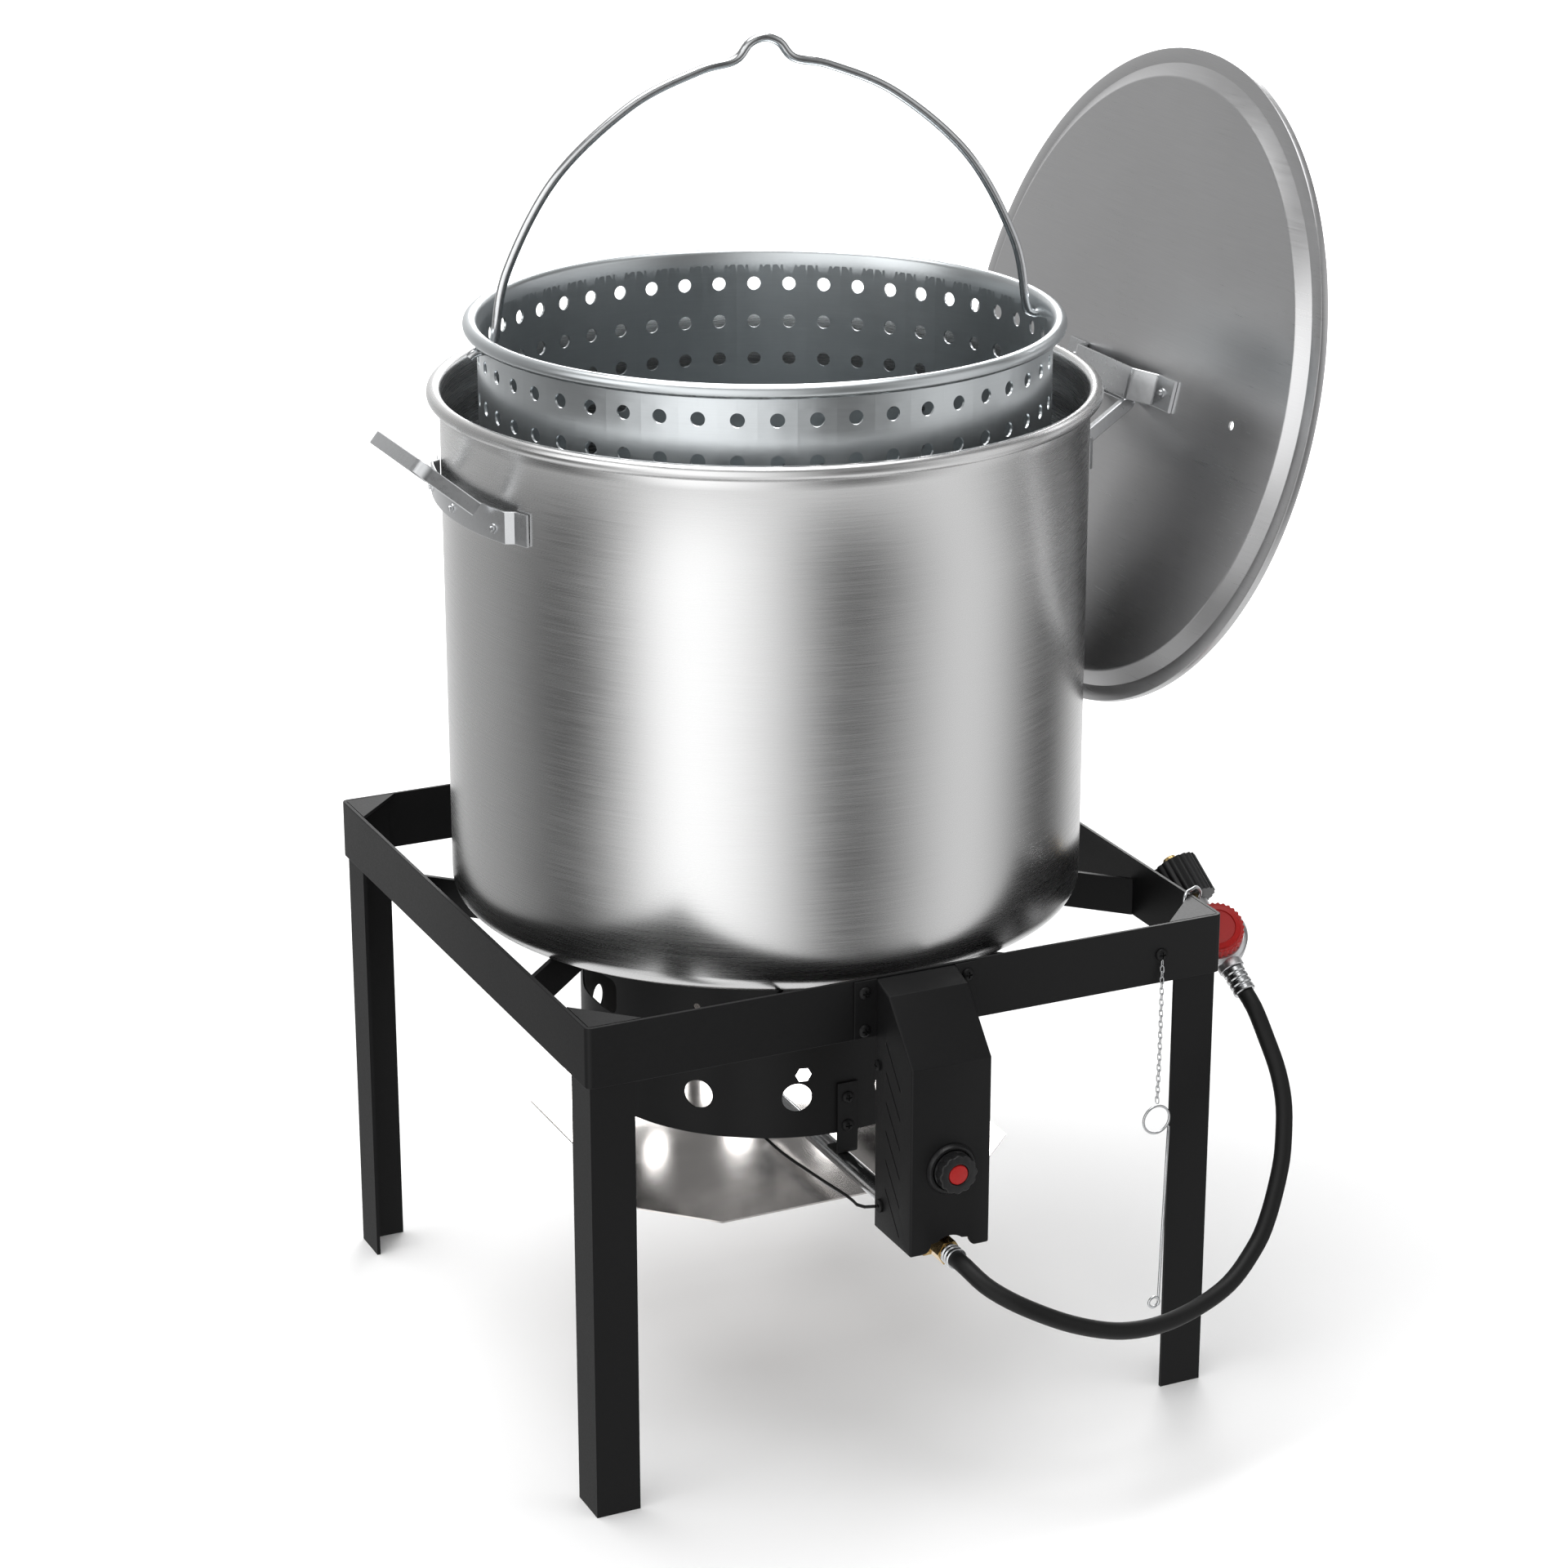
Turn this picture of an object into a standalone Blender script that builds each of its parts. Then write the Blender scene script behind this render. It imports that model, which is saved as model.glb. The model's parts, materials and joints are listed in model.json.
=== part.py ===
"""Turkey fryer kit: square steel stand with gas burner, stock pot, lid, perforated basket and gas supply.

Metres, +Z up. The stand is centred on the root's X = Y = 0 and its feet are at Z = 0.
The front is -Y: the control box, the hose and the lighting stick hang there. The lid leans on the right, +X.
"""

from math import acos, atan2, ceil, cos, pi, radians, sin, sqrt, tan

import bpy
from mathutils import Matrix, Vector

# The root moves the whole kit so that the middle of its footprint is at the origin.
ROOT_SHIFT = (-0.0353, 0.0322, 0)

# Clearances
GAP = 0.0003
DEEP = 0.03

# Stand
STAND_WIDTH = 0.457
STAND_HEIGHT = 0.3463
HALF_STAND = STAND_WIDTH / 2
BAND_HEIGHT = 0.0412
BAND_THICKNESS = 0.0027
RAIL_INNER = HALF_STAND - BAND_THICKNESS
GUSSET_LEG = 0.036
GUSSET_THICKNESS = 0.0025
LEG_FLANGE = 0.0305
LEG_THICKNESS = 0.0025
BAND_BOTTOM = STAND_HEIGHT - BAND_HEIGHT
BAR_OFFSET = 0.080
BAR_THICKNESS = 0.003
BAR_HEIGHT = 0.0261
BAR_TOP = BAND_BOTTOM + BAR_HEIGHT

# Burner
SHROUD_RADIUS = 0.129
SHROUD_WALL = 0.0012
SHROUD_BOTTOM = 0.1916
SHROUD_TOP = BAND_BOTTOM - GAP
AIR_HOLE_COUNT = 12
AIR_HOLE_FIRST = -135.6
AIR_HOLE_RADIUS = 0.0102
AIR_HOLE_Z = 0.2205
SIGHT_HOLE_RADIUS = 0.0056
SIGHT_HOLE_Z = 0.2367
SIGHT_HOLE_ANGLE = -103.6
PIN_HOLE_RADIUS = 0.0025
PIN_HOLE_Z = 0.284
PIN_HOLE_ANGLE = -135.8
WINDOW_WIDTH = 0.060
WINDOW_HEIGHT = 0.0244
WINDOW_CORNER = 0.006
WINDOW_Z = 0.2729
SHROUD_INSIDE = 0.115
BRACKET_SCREWS = (0.2173, 0.1968)
BRACKET_STRAP_WIDTH = 0.015
SPUD_BOTTOM = 0.2035
SPUD_PROFILE = [(0.0065, 0), (0.0065, 0.006), (0.004, 0.009), (0.001, 0.009), (0.001, 0.003), (0.004, 0)]
TUBE_Z = 0.1687
TUBE_RADIUS = 0.0066
TUBE_BORE = 0.005
ELBOW_RADIUS = 0.018
STRAP_THICKNESS = 0.0015
CROSSBAR_Z = 0.204
CROSSBAR_THICKNESS = 0.002
CROSSBAR_WIDTH = 0.026
CROSSBAR_TOP = CROSSBAR_Z + CROSSBAR_THICKNESS
SPUD_HOLE_RADIUS = 0.009
SHIELD_HALF = 0.1398
SHIELD_CHAMFER = 0.043
SHIELD_Z = 0.1473
SHIELD_THICKNESS = 0.0012

# Control box: its profile runs from the rail over the sloping top and down the front panel.
BOX_HALF = 0.0285
BOX_REAR = -0.2288
BOX_SHEET = 0.0015
BOX_FRONT = -0.2814
BOX_BOTTOM = 0.1707
BOX_PROFILE = [(BOX_REAR, 0.3457), (-0.2474, 0.3397), (BOX_FRONT, 0.3015), (BOX_FRONT, BOX_BOTTOM)]
FLANGE_WIDTH = 0.0157
FLANGE_BOTTOM = 0.306
KNOB_Z = 0.2288
KNOB_RADIUS = 0.0135
KNOB_DEPTH = 0.0112
BUTTON_RADIUS = 0.0067
BUTTON_TRAVEL = 0.004
STEM_RADIUS = 0.003
NOTCH_RADIUS = 0.0135
NOTCH_CENTRE_Z = 0.1679
GROMMET_PLACE = (-0.2375, 0.1892)
GROMMET_NECK = 0.0026
VALVE_FRONT = -0.262
VALVE_REAR = -0.244
LOUVRE_COUNT = 6
LOUVRE_TOP = 0.3076
LOUVRE_PITCH = 0.0205
LOUVRE_REAR = -0.2445
LOUVRE_FRONT = -0.265
LOUVRE_DROP = 0.0258
LOUVRE_WIDTH = 0.0018
SCREW_HEAD = 0.0043
SCREW_SHANK = 0.002

# Gas supply
HOSE_RADIUS = 0.00575
HOSE_START = Vector((0, -0.292, TUBE_Z))
REGULATOR = Vector((0.257, -0.1728, 0.3036))
FLOW = Vector((0.125, -0.76, -0.64)).normalized()
DIAL_UP = Vector((-0.30, -0.64, 0.706)).normalized()
REGULATOR_RADIUS = 0.0222
NECK_END = 0.0285
NUT_START = 0.0305
NECK_RADIUS = 0.009
DISC_TOP = 0.0093
FERRULE_START = 0.026
FERRULE_END = 0.044
HOSE_END = REGULATOR + FLOW * (FERRULE_END + GAP)
HOSE_ROUTE = [
    HOSE_START,
    HOSE_START + Vector((0, -0.012, 0)),
    (0.008, -0.322, 0.160),
    (0.028, -0.336, 0.148),
    (0.063, -0.340, 0.130),
    (0.101, -0.338, 0.117),
    (0.142, -0.330, 0.113),
    (0.186, -0.318, 0.1205),
    (0.214, -0.307, 0.1375),
    (0.230, -0.298, 0.1545),
    (0.2475, -0.283, 0.1805),
    (0.256, -0.272, 0.198),
    (0.2625, -0.260, 0.216),
    (0.2655, -0.246, 0.2335),
    (0.2655, -0.229, 0.252),
    HOSE_END + FLOW * 0.013,
    HOSE_END,
]

# Lighting stick
CHAIN_SCREW = Vector((0.1823, -HALF_STAND, 0.3254))
RING_CENTRE = Vector((0.1759, -0.240, 0.2117))
RING_RADIUS = 0.0098
RING_WIRE = 0.001

# Pot
POT_BASE = BAR_TOP + GAP
POT_RADIUS = 0.2152
POT_WALL = 0.002
POT_CORNER = 0.012
POT_RIM_Z = 0.679
POT_BEAD_RADIUS = 0.2189
POT_BEAD = 0.00476
HANDLE_ROOT = 0.217
HANDLE_Z = 0.6278
BRACKET_BOTTOM = 0.6135
BRACKET_WIDTH = 0.0215
BRACKET_THICKNESS = 0.002
BRACKET_OUTER = POT_RADIUS + 0.007
HANDLE_BAR = 0.005
HANDLE_DEPTH = 0.0095
HANDLE_HALF = 0.043
LEFT_GRIP = (0.259, 0.663)
RIGHT_GRIP = (0.2628, 0.6482)
RIGHT_GRIP_HALF = 0.030

# Lid, leaning on the right: it hooks its handle over the pot's right handle.
LID_RADIUS = 0.226
LID_CENTRE = Vector((0.277, 0, 0.656))
LID_TILT = radians(13.5)
LID_NORMAL = Vector((-cos(LID_TILT), 0, sin(LID_TILT)))
LID_UP = Vector((sin(LID_TILT), 0, cos(LID_TILT)))
LID_PANEL_RADIUS = 0.2055
LID_STEP_RADIUS = 0.2155
LID_RAISE = 0.0063
LID_SHEET = 0.0015
VENT_RADIUS = 0.0042
LID_HANDLE_RISE = 0.022
LID_HANDLE_WIDTH = 0.022
LID_HANDLE_STRAP = 0.0025

# Basket
BASKET_RADIUS = 0.1895
BASKET_WALL = 0.0015
BASKET_BOTTOM = POT_BASE + POT_WALL + GAP
BASKET_RIM_Z = 0.724
BASKET_RIM_RADIUS = 0.194
BASKET_BEAD = 0.0047
BASKET_CORNER = 0.010
BASKET_TURN = radians(-9)
BAIL_WIRE = 0.003
BAIL_Z = 0.715

FACING_FRONT = (pi / 2, 0, 0)
FACING_RIGHT = (pi / 2, 0, pi / 2)


def clear_scene():
    for old in list(bpy.data.objects):
        bpy.data.objects.remove(old, do_unlink=True)


def material(name, colour, roughness, metallic):
    made = bpy.data.materials.new(name)
    made.use_nodes = True
    shader = made.node_tree.nodes["Principled BSDF"]
    shader.inputs["Base Color"].default_value = (*colour, 1)
    shader.inputs["Roughness"].default_value = roughness
    shader.inputs["Metallic"].default_value = metallic
    return made


def add(name, data, look, location=(0, 0, 0), rotation=(0, 0, 0)):
    """Puts a mesh or a curve into the scene under the root."""
    piece = bpy.data.objects.new(name, data)
    bpy.context.scene.collection.objects.link(piece)
    piece.parent = root
    piece.location = location
    piece.rotation_euler = rotation
    piece.data.materials.append(look)
    return piece


def mesh_from(name, shape, smooth_angle=None):
    vertices, faces = shape
    mesh = bpy.data.meshes.new(name)
    mesh.from_pydata(vertices, [], faces)
    mesh.validate()
    if smooth_angle is not None:
        mesh.shade_smooth()
        mesh.set_sharp_from_angle(angle=smooth_angle)
    return mesh


def solid(name, shape, look, location=(0, 0, 0), rotation=(0, 0, 0), smooth=False):
    mesh = mesh_from(name, shape, radians(35) if smooth else None)
    return add(name, mesh, look, location, rotation)


def apply_boolean(target, shape, operation, location=(0, 0, 0), rotation=(0, 0, 0)):
    """Cuts a shape from the target, or joins one to it. The shape stays as a hidden helper."""
    helper_name = f"{target.name}_{operation.lower()}_{len(target.modifiers)}"
    helper = solid(helper_name, shape, target.data.materials[0], location, rotation)
    helper.hide_render = True
    helper.display_type = "WIRE"
    modifier = target.modifiers.new(helper.name, "BOOLEAN")
    modifier.object = helper
    modifier.operation = operation
    return helper


def cut(target, shape, location=(0, 0, 0), rotation=(0, 0, 0)):
    apply_boolean(target, shape, "DIFFERENCE", location, rotation)


def join(target, shape, location=(0, 0, 0), rotation=(0, 0, 0)):
    apply_boolean(target, shape, "UNION", location, rotation)


def signed_area(outline):
    following = outline[1:] + outline[:1]
    return sum(a[0] * b[1] - b[0] * a[1] for a, b in zip(outline, following)) / 2


def prism(outline, depth, start=0.0):
    """A flat outline in XY, raised along +Z from start."""
    if signed_area(outline) < 0:
        outline = outline[::-1]
    count = len(outline)
    vertices = [(x, y, start) for x, y in outline] + [(x, y, start + depth) for x, y in outline]
    faces = [tuple(range(count))[::-1], tuple(range(count, 2 * count))]
    for i in range(count):
        j = (i + 1) % count
        faces.append((i, j, count + j, count + i))
    return vertices, faces


def rectangle(left, bottom, right, top):
    return [(left, bottom), (right, bottom), (right, top), (left, top)]


def box(low, high):
    return prism(rectangle(low[0], low[1], high[0], high[1]), high[2] - low[2], low[2])


def circle(radius, sides, centre=(0, 0), turn=0.0):
    angles = [turn + 2 * pi * i / sides for i in range(sides)]
    return [(centre[0] + radius * cos(a), centre[1] + radius * sin(a)) for a in angles]


def arc(centre, radius, first, last, steps):
    """Points on an arc from one angle to another, in degrees."""
    angles = [radians(first + (last - first) * i / steps) for i in range(steps + 1)]
    return [(centre[0] + radius * cos(a), centre[1] + radius * sin(a)) for a in angles]


def rod(radius, length, sides=16, start=0.0):
    return prism(circle(radius, sides), length, start)


def turned(profile, sides):
    """A closed (radius, height) profile turned about Z. Points on the axis become one vertex each."""
    vertices = []
    rings = []
    for radius, height in profile:
        if radius == 0:
            rings.append([len(vertices)] * sides)
            vertices.append((0, 0, height))
            continue
        rings.append(list(range(len(vertices), len(vertices) + sides)))
        for x, y in circle(radius, sides):
            vertices.append((x, y, height))
    faces = []
    for low, high in zip(rings, rings[1:] + rings[:1]):
        if low[0] == low[1] and high[0] == high[1]:
            continue
        for i in range(sides):
            j = (i + 1) % sides
            corners = [low[i], low[j], high[j], high[i]]
            faces.append(tuple(dict.fromkeys(corners)))
    if signed_area(profile) < 0:
        faces = [face[::-1] for face in faces]
    return vertices, faces


def offset_line(points, distance):
    """A line moved sideways by a distance, to its left where positive, with mitred corners."""
    points = [Vector(point) for point in points]
    moved = []
    for i, point in enumerate(points):
        before = (point - points[i - 1]).normalized() if i else None
        after = (points[i + 1] - point).normalized() if i + 1 < len(points) else None
        before = before or after
        after = after or before
        across = (before + after).normalized()
        side = Vector((-across.y, across.x))
        reach = distance / max(0.2, side.dot(Vector((-after.y, after.x))))
        moved.append(tuple(point + side * reach))
    return moved


def strap(centre_line, thickness, width, start=None):
    """Flat strip: its centre line lies in XY and its width runs along Z, centred unless start is given."""
    left = offset_line(centre_line, thickness / 2)
    right = offset_line(centre_line, -thickness / 2)
    low = -width / 2 if start is None else start
    return prism(left + right[::-1], width, low)


def rounded(points, radius, steps=3):
    """An open line in a plane with its inner corners rounded."""
    points = [Vector(point) for point in points]
    line = [tuple(points[0])]
    for before, corner, after in zip(points, points[1:], points[2:]):
        back = (before - corner).normalized()
        on = (after - corner).normalized()
        half = acos(max(-1, min(1, back.dot(on)))) / 2
        reach = radius / tan(half)
        centre = corner + (back + on).normalized() * (radius / sin(half))
        first = corner + back * reach - centre
        last = corner + on * reach - centre
        line += [tuple(centre + turned_between(first, last, i / steps)) for i in range(steps + 1)]
    line.append(tuple(points[-1]))
    return line


def turned_between(first, last, share):
    """A 2-D arm turned part of the way from one direction to another, the short way round."""
    start = atan2(first.y, first.x)
    sweep = atan2(last.y, last.x) - start
    sweep = (sweep + pi) % (2 * pi) - pi
    return Vector((cos(start + sweep * share), sin(start + sweep * share))) * first.length


def smooth_route(points, spacing):
    """Evenly spaced points on a Catmull-Rom curve through the route's own points."""
    points = [Vector(point) for point in points]
    ends = [2 * points[0] - points[1]] + points + [2 * points[-1] - points[-2]]
    fine = [points[0]]
    steps = 24
    for before, start, end, after in zip(ends, ends[1:], ends[2:], ends[3:]):
        for i in range(1, steps + 1):
            t = i / steps
            fine.append(
                0.5 * (2 * start + (end - before) * t + (2 * before - 5 * start + 4 * end - after) * t**2
                       + (3 * start - before - 3 * end + after) * t**3)
            )
    lengths = [(b - a).length for a, b in zip(fine, fine[1:])]
    total = sum(lengths)
    count = max(2, ceil(total / spacing))
    route = [fine[0]]
    walked = 0.0
    for a, b, length in zip(fine, fine[1:], lengths):
        while len(route) < count and walked + length >= total * len(route) / count:
            route.append(a.lerp(b, (total * len(route) / count - walked) / length))
        walked += length
    route.append(fine[-1])
    return route


def wire(name, points, radius, look, location=(0, 0, 0), rotation=(0, 0, 0), closed=False, resolution=1):
    """Round wire, rod or hose along a line."""
    curve = bpy.data.curves.new(name, "CURVE")
    curve.dimensions = "3D"
    curve.bevel_depth = radius
    curve.bevel_resolution = resolution
    curve.use_fill_caps = not closed
    spline = curve.splines.new("POLY")
    spline.points.add(len(points) - 1)
    for target, point in zip(spline.points, points):
        target.co = (*point, 1)
    spline.use_cyclic_u = closed
    spline.use_smooth = True
    return add(name, curve, look, location, rotation)


def pipe(points, outer, inner, sides=12):
    """Open-ended tube along a line that stays in the YZ plane."""
    vertices = []
    points = [Vector(point) for point in points]
    for i, point in enumerate(points):
        before = points[max(0, i - 1)]
        after = points[min(len(points) - 1, i + 1)]
        along = (after - before).normalized()
        across = Vector((1, 0, 0))
        up = across.cross(along)
        for radius in (outer, inner):
            for x, y in circle(radius, sides):
                vertices.append(tuple(point + across * x + up * y))
    faces = []
    for i in range(len(points) - 1):
        for k in range(sides):
            j = (k + 1) % sides
            low = 2 * sides * i
            high = 2 * sides * (i + 1)
            faces.append((low + k, high + k, high + j, low + j))
            faces.append((low + sides + k, low + sides + j, high + sides + j, high + sides + k))
    last = 2 * sides * (len(points) - 1)
    for k in range(sides):
        j = (k + 1) % sides
        faces.append((k, j, sides + j, sides + k))
        faces.append((last + k, last + sides + k, last + sides + j, last + j))
    return vertices, faces


def radial(angle_degrees):
    """Rotation that points local Z outward at an angle about the kit's axis, with local Y up."""
    return (pi / 2, 0, radians(angle_degrees) + pi / 2)


def along(direction):
    return direction.to_track_quat("Z", "Y").to_euler()


def from_axes(x_axis, y_axis, z_axis):
    return Matrix((x_axis, y_axis, z_axis)).transposed().to_euler()


def screw(name, look, location, rotation, length):
    """Pan-head screw: the head's underside is at the origin and the shank runs back."""
    profile = [(0, 0.0024), (0.0026, 0.0021), (SCREW_HEAD, 0.0009), (SCREW_HEAD, 0)]
    profile += [(SCREW_SHANK, 0), (SCREW_SHANK, -length), (0, -length)]
    return solid(name, turned(profile, 12), look, location, rotation, smooth=True)


# Stand


def make_rails():
    names = ("front_rail", "right_rail", "rear_rail", "left_rail")
    outer = HALF_STAND
    inner = RAIL_INNER
    outline = [(-outer + GAP, -outer), (outer - GAP, -outer), (inner - GAP, -inner), (-inner + GAP, -inner)]
    for side, name in enumerate(names):
        shape = prism(outline, BAND_HEIGHT, BAND_BOTTOM)
        rail = solid(name, shape, black_coat, rotation=(0, 0, side * pi / 2))
        if name == "front_rail":
            hole = rod(SCREW_SHANK + GAP, DEEP, start=-DEEP / 2)
            cut(rail, hole, CHAIN_SCREW, FACING_FRONT)


def make_corners():
    """A flush gusset and an angle-iron leg under it in each corner of the band."""
    corner = RAIL_INNER - GAP
    inside = corner - LEG_THICKNESS
    gusset = [(corner, corner), (corner - GUSSET_LEG, corner), (corner, corner - GUSSET_LEG)]
    leg = [
        (corner, corner),
        (corner - LEG_FLANGE, corner),
        (corner - LEG_FLANGE, inside),
        (inside, inside),
        (inside, corner - LEG_FLANGE),
        (corner, corner - LEG_FLANGE),
    ]
    gusset_bottom = STAND_HEIGHT - GUSSET_THICKNESS
    for quarter, place in enumerate(("rear_right", "rear_left", "front_left", "front_right")):
        turn = (0, 0, quarter * pi / 2)
        solid(f"gusset_{place}", prism(gusset, GUSSET_THICKNESS, gusset_bottom), black_coat, rotation=turn)
        solid(f"leg_{place}", prism(leg, gusset_bottom - GAP), black_coat, rotation=turn)


def bar_profile(notch_from_top):
    """Side view of a support bar with its two half-lap notches, open at the top or at the bottom."""
    half_notch = BAR_THICKNESS / 2 + GAP
    middle = BAR_HEIGHT / 2 - GAP / 2
    end = HALF_STAND
    points = [(-end, 0), (end, 0), (end, BAR_HEIGHT)]
    for place in (BAR_OFFSET, -BAR_OFFSET):
        points += [
            (place + half_notch, BAR_HEIGHT),
            (place + half_notch, middle),
            (place - half_notch, middle),
            (place - half_notch, BAR_HEIGHT),
        ]
    points.append((-end, BAR_HEIGHT))
    if not notch_from_top:
        points = [(x, BAR_HEIGHT - y) for x, y in points]
    return points


def make_support_bars():
    """Four flat bars on edge, half-lapped, from rail to rail at 45 degrees."""
    names = ("rear_right", "rear_left", "front_left", "front_right")
    for quarter, name in enumerate(names):
        angle = 45 + 90 * quarter
        vertices, faces = prism(bar_profile(quarter % 2 == 0), BAR_THICKNESS)
        mitred = []
        for x, y, z in vertices:
            if abs(x) == HALF_STAND:
                reach = sqrt(2) * (RAIL_INNER - GAP) - (BAR_OFFSET - BAR_THICKNESS / 2 + z)
                x = reach if x > 0 else -reach
            mitred.append((x, y, z))
        outward = Vector((cos(radians(angle)), sin(radians(angle)), 0))
        location = outward * (BAR_OFFSET - BAR_THICKNESS / 2) + Vector((0, 0, BAND_BOTTOM))
        solid(f"support_bar_{name}", (mitred, faces), black_coat, location, radial(angle))


# Burner


def make_shroud():
    inner = SHROUD_RADIUS - SHROUD_WALL
    profile = [
        (SHROUD_RADIUS, SHROUD_BOTTOM),
        (SHROUD_RADIUS, SHROUD_TOP),
        (inner, SHROUD_TOP),
        (inner, SHROUD_BOTTOM),
    ]
    shroud = solid("burner_shroud", turned(profile, 56), black_coat, smooth=True)
    for i in range(AIR_HOLE_COUNT):
        hole = rod(AIR_HOLE_RADIUS, DEEP, 12, start=SHROUD_INSIDE)
        cut(shroud, hole, (0, 0, AIR_HOLE_Z), radial(AIR_HOLE_FIRST + i * 360 / AIR_HOLE_COUNT))
    sight_hole = rod(SIGHT_HOLE_RADIUS, DEEP, 6, start=SHROUD_INSIDE)
    cut(shroud, sight_hole, (0, 0, SIGHT_HOLE_Z), radial(SIGHT_HOLE_ANGLE))
    pin_hole = rod(PIN_HOLE_RADIUS, DEEP, 12, start=SHROUD_INSIDE)
    cut(shroud, pin_hole, (0, 0, PIN_HOLE_Z), radial(PIN_HOLE_ANGLE))
    window = rounded_rectangle(WINDOW_WIDTH, WINDOW_HEIGHT, WINDOW_CORNER)
    cut(shroud, prism(window, DEEP, SHROUD_INSIDE), (0, 0, WINDOW_Z), radial(-180))
    for height in BRACKET_SCREWS:
        cut(shroud, rod(SCREW_SHANK + GAP, DEEP, 12, start=SHROUD_INSIDE), (0, 0, height), radial(-90))


def rounded_rectangle(width, height, radius):
    across = width / 2 - radius
    up = height / 2 - radius
    outline = []
    for x, y, first in ((across, up, 0), (-across, up, 90), (-across, -up, 180), (across, -up, 270)):
        outline += arc((x, y), radius, first, first + 90, 4)
    return outline


def make_crossbar():
    """Strap across the shroud, with a turned-down tab at each end, that carries the burner."""
    inner = SHROUD_RADIUS - SHROUD_WALL
    end = sqrt(inner**2 - (CROSSBAR_WIDTH / 2) ** 2) - 2 * GAP - CROSSBAR_THICKNESS / 2
    height = CROSSBAR_Z + CROSSBAR_THICKNESS / 2
    line = rounded([(-end, height - 0.0055), (-end, height), (end, height), (end, height - 0.0055)], 0.002)
    shape = strap(line, CROSSBAR_THICKNESS, CROSSBAR_WIDTH)
    crossbar = solid("burner_crossbar", shape, black_coat, rotation=FACING_FRONT)
    cut(crossbar, rod(SPUD_HOLE_RADIUS, DEEP, 24), (0, 0, CROSSBAR_Z - DEEP / 2))


def make_burner_head():
    """Cast burner: a bell on a neck that is open below for the gas jet and the air."""
    base = CROSSBAR_TOP + GAP
    outer = [(0.0, 0.262), (0.044, 0.262), (0.048, 0.257), (0.048, 0.240), (0.020, 0.226), (0.018, base)]
    inner = [(0.013, base), (0.014, 0.228), (0.043, 0.242), (0.043, 0.256), (0.0, 0.257)]
    solid("burner_head", turned(outer + inner, 28), cast_iron, smooth=True)


def make_gas_tube():
    centre_y = -ELBOW_RADIUS
    bend = [(0, centre_y + y, TUBE_Z + ELBOW_RADIUS + z) for y, z in arc((0, 0), ELBOW_RADIUS, -90, 0, 6)]
    line = [(0, VALVE_REAR + GAP, TUBE_Z)] + bend + [(0, 0, SPUD_BOTTOM - GAP)]
    solid("gas_tube", pipe(line, TUBE_RADIUS, TUBE_BORE), plated_steel, smooth=True)
    solid("orifice_spud", turned(SPUD_PROFILE, 6), brass, (0, 0, SPUD_BOTTOM))


def make_tube_bracket():
    """L-shaped strap on the shroud's front whose foot rests on the gas tube."""
    face = SHROUD_RADIUS + GAP + STRAP_THICKNESS / 2
    foot_z = TUBE_Z + TUBE_RADIUS + GAP + STRAP_THICKNESS / 2
    line = rounded([(face, 0.228), (face, foot_z), (face - 0.0155, foot_z)], 0.0025)
    shape = strap(line, STRAP_THICKNESS, BRACKET_STRAP_WIDTH)
    bracket = solid("tube_bracket", shape, black_coat, rotation=(pi / 2, 0, -pi / 2))
    outer_face = -(SHROUD_RADIUS + GAP + STRAP_THICKNESS)
    for name, height in zip(("upper", "lower"), BRACKET_SCREWS):
        cut(bracket, rod(SCREW_SHANK + GAP, DEEP, 12, start=SHROUD_INSIDE), (0, 0, height), radial(-90))
        place = (0, outer_face - GAP, height)
        screw(f"bracket_screw_{name}", black_coat, place, FACING_FRONT, 0.0042)


def make_heat_shield():
    short = SHIELD_HALF - SHIELD_CHAMFER
    outline = [(SHIELD_HALF, short), (short, SHIELD_HALF)]
    outline += [(-x, y) for x, y in reversed(outline)]
    outline += [(-x, -y) for x, y in outline]
    solid("heat_shield", prism(outline, SHIELD_THICKNESS, SHIELD_Z), mirror_steel)
    inside = SHROUD_RADIUS - SHROUD_WALL - 0.0010 - STRAP_THICKNESS / 2
    foot = SHIELD_Z + SHIELD_THICKNESS + GAP + STRAP_THICKNESS / 2
    line = rounded([(inside, 0.197), (inside, foot), (inside - 0.014, foot)], 0.002)
    for name, angle in (("right", 0), ("rear", 90), ("left", 180)):
        shape = strap(line, STRAP_THICKNESS, 0.012)
        solid(f"shield_hanger_{name}", shape, mirror_steel, rotation=(pi / 2, 0, radians(angle)))


# Control box


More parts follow.
